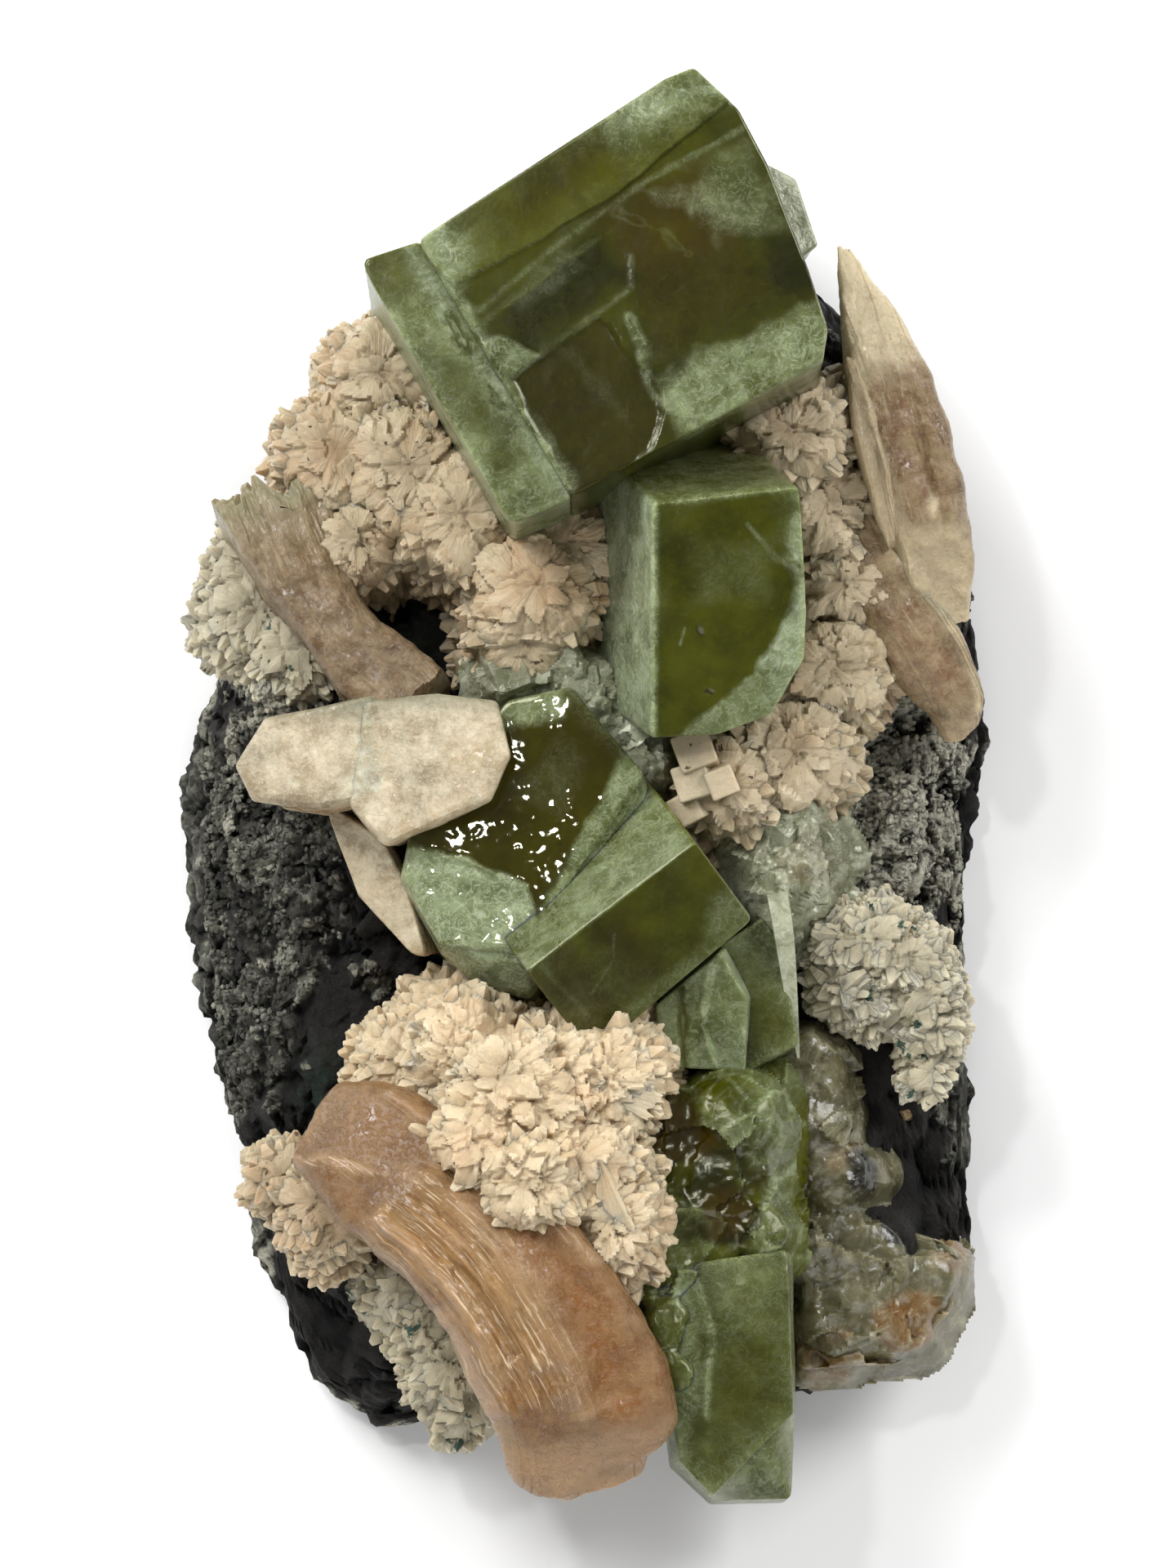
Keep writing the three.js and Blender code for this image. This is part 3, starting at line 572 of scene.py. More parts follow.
def brokenMass(lumps, seed, look):
    # crystals shattered where they grew: the same heights cut into large tilted shards and smaller ones on
    # them; milky along the breaks, and warm or dark in the given spots
    look = {"spacing": 0.22, "skirt": 2.5, "warp": 1.0, "join": 1.2, "dome": 0.45, "gloss": 0.0,
            "warm": noSpots, "deep": noSpots, **look}
    points, normals, bottom = grownHeights(lumps, look, seed)
    kept, solid = coveredCells(points[..., 2], bottom)
    coarse, coarseEdge = shatter(points, look["shard"], seed + 4)
    bent = points + 0.3 * cloud(points, 2, 2, seed)[..., None]
    small, smallEdge = shatter(bent, 0.4 * look["shard"], seed + 5)
    relief = look["height"] * coarse + look["small"] * look["height"] * small
    relief = relief + 0.1 * cloud(points, 1.0, 3, seed + 6)
    x, y = points[..., 0], points[..., 1]
    relief = relief * np.clip(1.6 * normals[..., 2], 0.3, 1) * kept
    points = points + relief[..., None] * normals
    wander = cloud(points, 4.0, 4, seed + 7)
    milk = look["milk"] + 0.5 * wander + 0.35 * coarse + 0.4 * coarseEdge + 0.25 * smallEdge
    warm, deep = (eased((patches(x, y, look[name]) - 0.4 + 0.7 * wander) / 0.4) for name in ("warm", "deep"))
    shares = {"milk": milk * (1 - 0.8 * deep), "warm": warm, "deep": deep,
              "gloss": np.full_like(milk, look["gloss"])}
    return slab(points, bottom - 0.4, solid, {name: np.clip(value, 0, 1) for name, value in shares.items()})


def crystalBlock(spec):
    # rings shrink to the middle of the front face, run over its worn edge and down the sides, where they go
    # from level to level in straight lines, and shrink again on the back; relief lifts the front along its
    # normal
    seed = spec.get("seed", 1)
    normal, across, upFace = faceAxes(spec.get("facing", skyward), spec.get("along", (1, 0, 0)))
    levels = spec["levels"]
    middle = np.mean(np.asarray(levels[0][1], float), axis=0)
    angles = np.linspace(0, 2 * pi, spec["turns"], endpoint=False)
    depths = [depth for depth, _ in levels]
    reaches = [outlineReach(outline, middle, angles) for _, outline in levels]
    reaches = np.array([wornCorners(reach, spec.get("wear", 2)) for reach in reaches])
    edge = spec.get("edge", 0.3)

    faceShare = np.linspace(0.012, 1, spec["faceRows"])
    edgeTurn = np.linspace(0, pi / 2, 4)[1:]
    sideDepth = edge + (depths[-1] - edge) * np.linspace(0, 1, spec["sideRows"] + 1)[1:] ** 1.3
    backShare = np.linspace(1, 0.02, 6)[1:]

    def reachAt(depth):
        upper = int(np.clip(np.searchsorted(depths, depth, side="right") - 1, 0, len(depths) - 2))
        share = np.clip((depth - depths[upper]) / (depths[upper + 1] - depths[upper]), 0, 1)
        return reaches[upper] * (1 - share) + reaches[upper + 1] * share

    drawnIn = reaches[0] - edge
    rows = [(drawnIn * share, 0.0) for share in faceShare]
    rows += [(drawnIn + edge * sin(turn), edge * (1 - cos(turn))) for turn in edgeTurn]
    rows += [(reachAt(depth), depth) for depth in sideDepth]
    rows += [(reaches[-1] * share, depths[-1]) for share in backShare]
    reach = np.array([row[0] for row in rows])
    depth = np.array([row[1] for row in rows])[:, None] * np.ones_like(reach)

    u = middle[0] + reach * np.cos(angles)
    w = middle[1] + reach * np.sin(angles)
    onFace = np.clip(1 - depth / 5.0, 0, 1)  # the face's relief ends 5 mm down the sides
    values = {"milk": spec.get("milk", 0.2) + 0.25 * cloud(stacked(u, w, depth), 8, 4, seed + 3)}
    for key in ("warm", "deep", "gloss"):
        values[key] = np.full(u.shape, spec.get(key, 0.0))
    rimGap = (reaches[0] - reach) * (depth <= edge) + 0 * depth
    values["milk"] += spec.get("rimMilk", 0.35) * np.exp(-rimGap / 1.1) * eased(1.4 - depth / 4)
    values["milk"] += spec.get("sideMilk", 0.2) * eased(depth / 3)
    ripples = cloud(stacked(u, w, seed), spec.get("rippleSize", 3.0), spec.get("rippleOctaves", 5), seed)
    lift = spec.get("ripple", 0.05) * ripples
    lift = lift + spec.get("swell", 0.0) * cloud(stacked(u, w, seed + 2), 9.0, 2, seed + 6)
    if "shatter" in spec:
        size, height = spec["shatter"]
        shards, edges = shatter(stacked(u, w, depth), size, seed)
        lift = lift + height * shards
        values["milk"] = values["milk"] + 0.35 * edges
    for index, feature in enumerate(spec.get("features", [])):
        share = featureShare(u, w, feature, seed + index) * onFace**feature.get("fade", 1)
        lift = lift + feature.get("lift", 0.0) * share
        for key in values:
            if key in feature:
                values[key] = values[key] + (feature[key] - values[key]) * share
    lift = lift * onFace

    down, around = spec.get("sideGrain", (0.9, 14.0))
    outline = stacked(u / around, w / around, depth / down)
    grooves = spec.get("grooves", 0.12) * cloud(outline, 1.0, 3, seed + 9) * eased(depth / 0.8)
    wander = cloud(stacked(u, w, depth), 3.5, 4, seed + 5)
    grooves = grooves + spec.get("grooves", 0.12) * wander * eased(depth / 1.5)
    u = u + grooves * np.cos(angles)
    w = w + grooves * np.sin(angles)
    rings = np.asarray(spec["centre"], float) + u[..., None] * across + w[..., None] * upFace
    rings = rings + (lift - depth)[..., None] * normal
    if "grain" in spec:
        return sleeve(rings, tabletValues(stacked(u, w, depth), spec))
    return sleeve(rings, {key: np.clip(value, 0, 1) for key, value in values.items()})


def tabletValues(grain, spec):
    # what stilbite's material needs: blade coordinates, the pale fringe, the rind of the sides, where it
    # glows orange, where it has no streaks and where it shines
    fringe = eased((grain[..., 1] - spec["fringeStart"]) / 2.5)
    plain = np.zeros_like(fringe)
    return {"grain": grain * mm, "fringe": fringe, "rind": eased(grain[..., 2] / 3.0) * 0.8, "glow": plain,
            "even": plain + 1, "shine": plain}


squareAlong = (0.861, 0.509, 0)  # the large block's long edge

upperOutline = [(-12.3, 12.5), (-8.5, 12.7), (13.7, 13.8), (16.4, 13.4), (17.9, 8.2), (17.6, 2.6),
                (15.9, -7.3), (14.7, -12.5), (12.8, -14.8), (-12.3, -13.9)]
upperMain = {
    "centre": (2, 41, 44.3), "along": squareAlong, "turns": 425, "faceRows": 92, "sideRows": 24, "seed": 11,
    "levels": [(depth, upperOutline) for depth in (0, 34)],
    "milk": 0.08, "deep": 0.5, "rimMilk": 0.12, "ripple": 0.06,
    "features": [
        # upper band, one cleavage layer higher than the rest
        {"patch": [(-10.8, 4.4), (-2.1, 5.9), (7.5, 6.8), (17.5, 6.5), (19, 16), (-14, 15)], "lift": 0.3,
         "soft": 0.3, "ragged": 0.25, "milk": 0.22, "deep": 0.12},
        {"patch": [(-13, 5), (-9, 9), (-9, 15), (-14, 15)], "soft": 3.0, "milk": 0.97, "ragged": 1.0},
        {"patch": [(4, 11.5), (18, 9), (18, 16), (4, 16)], "soft": 4.5, "milk": 0.65, "deep": 0.0,
         "ragged": 1.5},
        {"patch": [(8, 14.6), (13, 14.6), (12.4, 11.2), (8.8, 11.4)], "soft": 2.4, "milk": 1.0,
         "ragged": 1.5},
        {"line": [(14.2, 12.0), (17.2, 10.8)], "width": 0.5, "milk": 0.95, "ragged": 0.7},
        {"patch": [(11, 6), (17, 5), (16, -3), (10, -1)], "soft": 4.0, "milk": 0.42, "ragged": 1.5},
        # brown middle with a yellow glow
        {"patch": [(2, 6.4), (12, 5.5), (12, -3), (3, -1.5)], "soft": 3.5, "warm": 0.85, "deep": 0.7,
         "milk": 0.05, "ragged": 1.0},
        {"patch": [(5.5, 3.6), (9.5, 1.8), (8, -0.4), (5.4, 1)], "soft": 2.0, "warm": 1.0, "deep": 0.0,
         "ragged": 0.8},
        {"patch": [(-9.5, 3.6), (2, 5), (2, 0), (-9.5, -1)], "soft": 2.5, "deep": 0.92, "milk": 0.04,
         "ragged": 1.0},
        {"patch": [(2, -1.5), (12, -2), (12, -7), (0, -7.5)], "soft": 3.0, "deep": 0.55, "warm": 0.35,
         "ragged": 1.0},
        # dark lower layer, with a straight step along its top
        {"patch": [(-11.4, -2.3), (2.6, -0.9), (2.4, -6), (-0.8, -9.9), (-0.2, -13.6), (-12.5, -14.5)],
         "lift": -0.2, "soft": 0.5, "ragged": 0.5, "deep": 0.75, "warm": 0.3, "milk": 0.04},
        {"line": [(-11.4, -2.2), (1.8, -0.8), (3.2, 1.7)], "width": 0.3, "lift": 0.04, "milk": 0.35,
         "ragged": 0.3},
        {"line": [(-10.8, 4.4), (-2.1, 5.9), (7.5, 6.8), (17.5, 6.5)], "width": 0.3, "milk": 0.4,
         "ragged": 0.25},
        {"line": [(-11, 3.2), (-2, 4.4), (3, 4.6)], "width": 0.25, "milk": 0.25, "deep": 0.4, "ragged": 0.6},
        {"patch": [(-6.6, -2), (-4.9, -2), (-3.8, -12), (-5.2, -12)], "soft": 2.4, "milk": 0.22,
         "ragged": 1.6},
        {"patch": [(9, 4.5), (16.6, 3), (15, -2.5), (11, -1)], "soft": 3.0, "milk": 0.55, "ragged": 2.2},
        {"patch": [(-8, 4.2), (-1, 5), (-1, 3), (-8, 2)], "soft": 1.6, "milk": 0.3, "ragged": 1.2},
        {"line": [(4, 5.6), (6.4, 2.4), (7.6, -0.6)], "width": 0.3, "milk": 0.22, "warm": 0.6, "ragged": 1.2},
        {"patch": [(-5, 11.4), (6, 12.4), (6, 8.4), (-5, 7.6)], "soft": 4.0, "warm": 0.4, "milk": 0.1,
         "ragged": 1.0},
        # crack that ends the dark layer on the right, and the milky layer past it
        {"patch": [(-0.9, -8.6), (5.7, -8.9), (16, -10.0), (16, -16), (-0.7, -15)], "lift": 0.08,
         "soft": 2.2, "ragged": 1.3, "milk": 0.82, "deep": 0.0, "warm": 0.0},
        {"line": [(0.2, -2.8), (-0.1, -5.5), (-1.1, -6.7), (-1.5, -9.9), (-0.2, -12.2)], "width": 0.3,
         "lift": 0.02, "milk": 0.75, "ragged": 0.9},
        {"patch": [(-12.6, 1.8), (-10.5, 1.6), (-8.5, -1.7), (-11.6, -2.3)], "lift": 0.2, "soft": 0.6,
         "milk": 0.75, "ragged": 0.3},
        # dark bluish edge on the right
        {"patch": [(14.2, -3), (18, -4), (15.6, -9.5), (12.4, -8)], "soft": 2.0, "deep": 0.95, "milk": 0.1,
         "ragged": 0.8},
        {"patch": [(-14, 13), (-11.6, 13), (-11.2, -14), (-14, -14)], "soft": 1.6, "milk": 0.75,
         "ragged": 1.0},
    ],
}

upperSide = {
    "centre": (2, 41, 43.2), "along": squareAlong, "turns": 240, "faceRows": 40, "sideRows": 22, "seed": 17,
    "levels": [(depth, [(-17.6, 13.7), (-11.9, 12.5), (-11.9, -14), (-18, -13.2)]) for depth in (0, 30)],
    "milk": 0.55, "deep": 0.1, "rimMilk": 0.3, "ripple": 0.08,
    "features": [
        {"patch": [(-18, 14.5), (-11, 14.5), (-12, 9), (-18, 9)], "soft": 3.0, "milk": 0.3, "warm": 0.15},
        {"patch": [(-16.4, 3), (-14, 3), (-14, -9), (-16.4, -9)], "soft": 3.0, "milk": 0.3, "deep": 0.3,
         "ragged": 1.0},
        # etched seam beside the large block, with dark pits
        {"line": [(-13.3, 12.5), (-13.4, 4.1), (-13.0, -5.1), (-12.4, -13.6)], "width": 0.8, "milk": 0.95,
         "ragged": 1.1},
        {"line": [(-13.2, 5), (-13.4, -2), (-12.8, -7)], "width": 0.3, "lift": -0.12, "deep": 0.4,
         "milk": 0.4, "ragged": 2.4},
    ],
}

middleBlock = {
    "centre": (12.5, 13.4, 38), "facing": (0.309, -0.349, 0.885), "along": (0.951, 0.113, -0.2875),
    "turns": 400, "faceRows": 80, "sideRows": 44, "seed": 23,
    "levels": [
        (0, [(-7.25, 10.4), (6.4, 10.9), (7.2, -0.6), (7.0, -5.0), (4.0, -9.8), (-1, -11.2), (-7.25, -11)]),
        *((depth, [(-7.25, 11.25), (7, 11.25), (7.25, -11.25), (-7.25, -11.25)]) for depth in (10, 24)),
    ],
    "milk": 0.14, "deep": 0.12, "rimMilk": 0.12, "sideMilk": 0.2, "ripple": 0.04, "grooves": 0.07,
    "sideGrain": (0.7, 22.0),
    "features": [
        {"patch": [(-3, 6), (4, 6), (4, 1), (-3, 1)], "soft": 4.0, "milk": 0.3, "ragged": 1.0},
        # pale left side, milky and also painted paler as the side that faces the light; dark upper side
        {"patch": [(-9, 12), (-6.75, 12), (-6.75, -13), (-9, -13)], "soft": 0.7, "milk": 1.0, "deep": 0.0,
         "fade": 0, "ragged": 0.2},
        {"patch": [(-6.6, 10.7), (8, 11.1), (8, 13), (-6.6, 13)], "soft": 0.5, "milk": 0.5, "deep": 0.0,
         "warm": 0.6, "fade": 0},
        # milky veil in the lower right corner, with a cream rim
        {"patch": [(8, 3.0), (2.8, -5.2), (3.2, -14), (9, -14)], "soft": 0.8, "milk": 1.0, "deep": 0.0,
         "ragged": 0.9, "lift": -0.15},
        {"patch": [(3.6, -5.0), (-4.8, -11.0), (-4, -14), (5, -14)], "soft": 0.8, "milk": 0.8, "deep": 0.0,
         "ragged": 0.9},
        {"line": [(6.7, 10), (6.4, 5), (7.2, -2), (6.6, -6)], "width": 0.8, "milk": 1.0, "ragged": 1.1,
         "lift": 0.2, "deep": 0.0},
        {"line": [(-6.6, 10.3), (6.5, 10.8)], "width": 0.3, "milk": 0.7, "ragged": 0.4},
        {"line": [(1.6, 7.8), (4.4, 4.4), (6.4, 3.6)], "width": 0.16, "milk": 0.5, "ragged": 0.3,
         "lift": 0.03},
        {"line": [(-3.1, -1.4), (-2.7, -1.9)], "width": 0.4, "lift": -0.2, "deep": 0.9, "ragged": 0.8},
        {"line": [(-2.1, -7.1), (-1.7, -7.3)], "width": 0.22, "lift": -0.15, "deep": 0.9},
        {"line": [(-4.6, -2.6), (-4.2, -1.2)], "width": 0.14, "milk": 0.7},
    ],
}

centreFoot = [(-12.8, -9.3), (8.2, -9), (12.6, 2.8), (8.2, 7.4), (-6.8, 7.9),
              (-10.7, 6.2), (-14.1, -0.6), (-14.4, -5)]
centreGlossy = {
    "centre": (-6, -4, 32), "facing": (-0.09, 0.055, 1), "along": (0.563, 0.826, 0),
    "turns": 380, "faceRows": 88, "sideRows": 26, "seed": 31, "wear": 4, "edge": 0.7,
    "levels": [
        (0, [(-10.1, -7.1), (9.2, -7.1), (12.1, 2.8), (7.8, 6.9), (-6.8, 7.3), (-10.3, 5.9), (-13.6, -0.8)]),
        *((depth, centreFoot) for depth in (4.5, 22)),
    ],
    "milk": 0.06, "deep": 0.6, "warm": 0.45, "rimMilk": 0.5, "sideMilk": 0.6, "swell": 0.5, "ripple": 0.05,
    "rippleSize": 1.1, "rippleOctaves": 2, "gloss": 1.0,
    "features": [
        {"patch": [(-9.0, 8), (-6.2, 2.6), (-5.0, -4), (-9, -9), (-17, -8), (-16, 5)], "soft": 0.7,
         "milk": 1.0, "deep": 0.0, "warm": 0.0, "ragged": 0.8, "lift": -0.15},
        {"patch": [(13, -4), (8.5, -4.6), (-5.6, -5), (-11, -9), (10, -10)], "soft": 1.0, "milk": 0.85,
         "deep": 0.0, "warm": 0.0, "ragged": 0.6},
        {"patch": [(13, 5), (9.5, 1.6), (6.4, 4), (4, 8), (9, 9)], "soft": 1.6, "milk": 0.8, "ragged": 0.9,
         "deep": 0.1},
        {"patch": [(2, 2), (8, 1), (8, -2.5), (2, -3)], "soft": 3.0, "milk": 0.25, "ragged": 1.2},
        {"line": [(-8.4, 6.6), (-6.0, 1.8), (-5.2, -4)], "width": 0.35, "milk": 1.0, "ragged": 0.6,
         "lift": 0.15},
    ],
}

centreTilted = {
    "centre": (4.65, -15.75, 34), "facing": (0.347, -0.547, 0.767), "along": (0.795, 0.603, 0.071),
    "turns": 320, "faceRows": 64, "sideRows": 30, "seed": 37,
    "levels": [
        (0, [(-9.4, -5.3), (-6, -6.4), (9.2, -5.3), (9.4, 5.3), (-9.4, 5.3)]),
        *((depth, [(-9.4, -7.5), (9.2, -7.5), (9.4, 5.3), (-9.4, 5.3)]) for depth in (4, 17)),
    ],
    "milk": 0.12, "deep": 0.0, "rimMilk": 0.0, "sideMilk": 0.1, "ripple": 0.05,
    "features": [
        {"patch": [(-9.4, 5.2), (9.4, 5.2), (9.4, 8), (-9.4, 8)], "soft": 0.3, "milk": 0.84, "deep": 0.0,
         "warm": 0.2, "fade": 0},
        {"patch": [(-11, 6), (-9.2, 6), (-9.2, -8), (-11, -8)], "soft": 0.4, "warm": 0.5, "deep": 0.4,
         "fade": 0},
        {"patch": [(7.4, -0.6), (10, -1), (9.2, -6), (3.3, -5.8)], "soft": 2.5, "milk": 0.6, "ragged": 0.8},
        {"patch": [(-9, -4.6), (9, -4.4), (9, -7), (-9, -7)], "soft": 1.5, "milk": 0.5, "ragged": 0.6},
        {"patch": [(-3, 4), (1, 4), (0, -4), (-4, -4)], "soft": 3.0, "deep": 0.45, "warm": 0.35,
         "ragged": 0.8},
        {"line": [(-6, -1), (-2.6, 0.6), (-1.4, 2.6)], "width": 0.14, "milk": 0.4, "ragged": 0.3},
        {"line": [(-8.0, 4.8), (-7.4, -5.4)], "width": 0.25, "milk": 0.35, "warm": 0.3},
        {"patch": [(-9, 5), (-5, 5), (-5, -4), (-9, -4)], "soft": 2.0, "warm": 0.45, "deep": 0.4},
    ],
}


def broken(spec):
    # a chip or small block: the same rings with fewer turns and rows
    return crystalBlock({"turns": 150, "faceRows": 26, "sideRows": 16, **spec})


rightDark = {
    "centre": (0, 0, 26), "turns": 220, "faceRows": 42, "sideRows": 18, "seed": 41,
    "levels": [(depth, [(11.7, -15.2), (15.6, -12.5), (17.2, -15.4), (18.8, -23.9), (14, -26.6), (12.5, -21)])
               for depth in (0, 16)],
    "milk": 0.3, "deep": 0.35, "rimMilk": 0.4,
}

rightPale = {
    "centre": (9.2, -22.2, 27), "facing": (-0.15, -0.25, 1), "turns": 220, "faceRows": 42, "sideRows": 18,
    "seed": 43,
    "levels": [(depth, [(-3.2, 1.6), (2.6, 6.6), (5, 2.2), (4.8, -4.2), (-3, -4)]) for depth in (0, 16)],
    "milk": 0.66, "rimMilk": 0.3, "ripple": 0.25,
    "features": [
        {"line": [(2, 6), (1, 0), (2.4, -4)], "width": 0.4, "lift": 0.25, "milk": 1.0, "ragged": 0.7},
        {"line": [(-1, 3), (-0.6, -4)], "width": 0.3, "lift": -0.2, "milk": 0.3, "ragged": 0.7},
    ],
}

lowerMass = {
    "centre": (0, 0, 25.0), "turns": 200, "faceRows": 30, "sideRows": 20, "seed": 47, "wear": 5, "edge": 0.6,
    "levels": [(depth, [(3.8, -28), (16.4, -27.2), (17.2, -42.8), (5.2, -45.5)]) for depth in (0, 13.5)],
    "milk": 0.3, "deep": 0.45, "warm": 0.3, "ripple": 0.5,
}
brokenLumps = [
    (7, -31.6, 28.6, 4), (12.8, -30.2, 30.2, 3.8), (6.8, -37, 28.2, 3.6), (12.6, -35.6, 29.2, 4.2),
    (9.6, -41, 28.8, 4), (6.8, -44.6, 28.6, 3), (7.2, -49, 29.2, 2.2), (6.9, -53, 29, 2),
    (14.8, -40.4, 28.2, 2.6), (15.2, -31.6, 28.6, 2.2),
]
brokenLook = {
    "shard": 4.6, "height": 0.45, "small": 0.24, "milk": 0.26, "warm": [(8, -32, 4, 1.0), (12, -38, 4, 0.7)],
    "deep": [(7, -32, 5, 1.0), (11, -36.5, 4.4, 0.9), (13.6, -40, 3, 0.8), (8.6, -40, 3, 0.8)],
}

columnFoot = [(5.4, -44), (18.2, -42.3), (18.4, -56.8),
              (18, -64.2), (11, -64.4), (7.4, -61)]
lowerColumn = {
    "centre": (0, 0, 28), "turns": 340, "faceRows": 62, "sideRows": 24, "seed": 53, "edge": 0.35,
    "levels": [
        (0, [(5.9, -44), (17.7, -42.3), (18.2, -56.8), (11, -64.2), (8, -61)]),
        *((depth, columnFoot) for depth in (3.5, 21)),
    ],
    "milk": 0.28, "deep": 0.3, "rimMilk": 0.3, "sideMilk": 0.1, "ripple": 0.15,
    "features": [
        {"patch": [(5, -44), (9.4, -44), (9.8, -56), (8, -62), (5, -58)], "soft": 2.0, "milk": 0.7,
         "ragged": 0.9},
        {"line": [(9.5, -45), (11, -50), (10.4, -57)], "width": 0.3, "milk": 0.7, "lift": 0.12,
         "ragged": 0.5},
        {"patch": [(11, -45), (18, -44), (18, -49), (12, -50)], "soft": 1.5, "milk": 0.4, "lift": 0.25,
         "ragged": 0.7},
    ],
}

addPiece("upperBlock", [crystalBlock(upperMain), crystalBlock(upperSide)], materials["green"],
         ["apophyllite_upper"])
addPiece("middleBlock", [crystalBlock(middleBlock)], materials["green"], ["apophyllite_middle"])
addPiece("centreBlocks", [crystalBlock(centreGlossy), crystalBlock(centreTilted)], materials["green"],
         ["apophyllite_centre"])
addPiece("rightBlocks", [crystalBlock(rightDark), crystalBlock(rightPale)], materials["green"],
         ["apophyllite_right"])
addPiece("lowerBlocks",
         [crystalBlock(lowerMass), crystalBlock(lowerColumn), brokenMass(brokenLumps, 63, brokenLook)],
         materials["green"], ["apophyllite_lower"])


# Small clear prisms.

unitSquare = [(-0.5, -0.5), (0.5, -0.5), (0.5, 0.5), (-0.5, 0.5)]


def prisms(crystals, milk):
    # square prisms with a short pyramid, given as x, y, z of the tip, size, lean along x and y, and turn
    parts = []
    for index, (x, y, z, size, leanX, leanY, turn) in enumerate(crystals):
        tip, foot = ([(a * share * size, b * share * size) for a, b in unitSquare] for share in (0.7, 1.0))
        parts.append(broken({
            "centre": (x, y, z), "facing": (leanX, leanY, 1), "along": (cos(turn), sin(turn), 0),
            "levels": [(0, tip), (size * 0.3, foot), (size * 2.6, foot)], "edge": 0.15, "wear": 1,
            "turns": 110, "seed": 70 + index, "milk": milk, "rimMilk": 0.3, "ripple": 0.12, "grooves": 0.08,
        }))
    return parts


clearTop = broken({
    "centre": (18.2, 49.5, 34), "facing": (0.25, 0.1, 1), "turns": 200, "faceRows": 34, "sideRows": 28,
    "seed": 61,
    "levels": [(0, [(-2.4, 4.6), (0.4, 3.4), (2.4, -2.6), (-0.5, -5), (-3.4, -4)]),
               (24, [(-3, 5), (1, 4), (3, -3), (-4, -5)])],
    "milk": 0.35, "ripple": 0.15,
})
addPiece("clearTopCrystal", [clearTop], materials["clear"], ["apophyllite_clear_top"])

clearLumps = [(-6.8, 9.2, 28.6, 2.6), (-3.4, 10.0, 29.4, 2.6), (-0.4, 8.2, 28.8, 2.8), (2.4, 5.4, 28.4, 2.8),
              (4.4, 2.2, 27.6, 2.6)]
clearPrisms = [(-7, 9, 29, 4.5, -0.1, -0.25, 0.4), (-0.4, 8, 29, 4.4, 0.2, 0.1, 0.2),
               (4.6, 1.6, 27, 4.4, 0.3, 0.1, 0.5)]
clearLook = {"shard": 2.6, "height": 0.8, "small": 0.3, "milk": 0.4, "gloss": 0.3}
addPiece("clearCrustCrystals", [brokenMass(clearLumps, 107, clearLook), *prisms(clearPrisms, 0.3)],
         materials["clear"], ["apophyllite_clear_crust"])

needlePath = [(16.9, -10.6, 25.8, 2.0), (17.5, -14.5, 26.2, 1.8), (18.1, -19.5, 25.3, 1.2),
              (18.8, -25.0, 23.8, 0.25)]


def needle(path, sides=48, rows=90):
    # a four-sided spike: a square with rounded corners, turned with the path and narrowed towards the tip
    line = smoothPath(path, rows)
    tangent = unit(np.gradient(line[:, :3], axis=0))
    side = unit(np.cross(tangent, skyward))
    crown = np.cross(side, tangent)
    angle = np.linspace(0, 2 * pi, sides, endpoint=False)
    square = 0.5 / np.maximum(np.abs(np.cos(angle)), np.abs(np.sin(angle))) ** 0.8
    reach = line[:, 3:4] * square
    heading = np.cos(angle)[:, None] * side[:, None] + np.sin(angle)[:, None] * crown[:, None]
    rings = line[:, None, :3] + reach[..., None] * heading
    rings = rings + 0.08 * cloud(rings, 1.2, 3, 5)[..., None] * crown[:, None]
    even = np.ones(rings.shape[:2])
    return sleeve(rings, {"milk": 0.75 * even, "warm": 0 * even, "deep": 0 * even, "gloss": 0 * even})


clearRightLumps = [(14.6, -4.4, 25, 2.8), (17.8, -3.4, 25.4, 3.2), (20.6, -6.0, 23.6, 3.0),
                   (17.2, -8.4, 26, 3.0), (20.4, -9.8, 22.6, 2.6), (17.0, -11.8, 25, 2.2)]
clearRightPrisms = [(17.6, -3, 25, 5.4, 0.2, 0.3, 0.9), (20, -9.6, 22.5, 4.6, 0.3, -0.2, 0.1)]
clearRightLook = {**clearLook, "warm": [(19.6, -7.4, 3.4, 1.1), (15.0, -2.6, 2, 0.7)]}
clearRightMass = brokenMass(clearRightLumps, 109, clearRightLook)
addPiece("clearRightCrystals", [clearRightMass, *prisms(clearRightPrisms, 0.4), needle(needlePath)],
         materials["clear"], ["apophyllite_clear_right"])
print("apophyllite made")


# Stilbite sheaves and tablets.

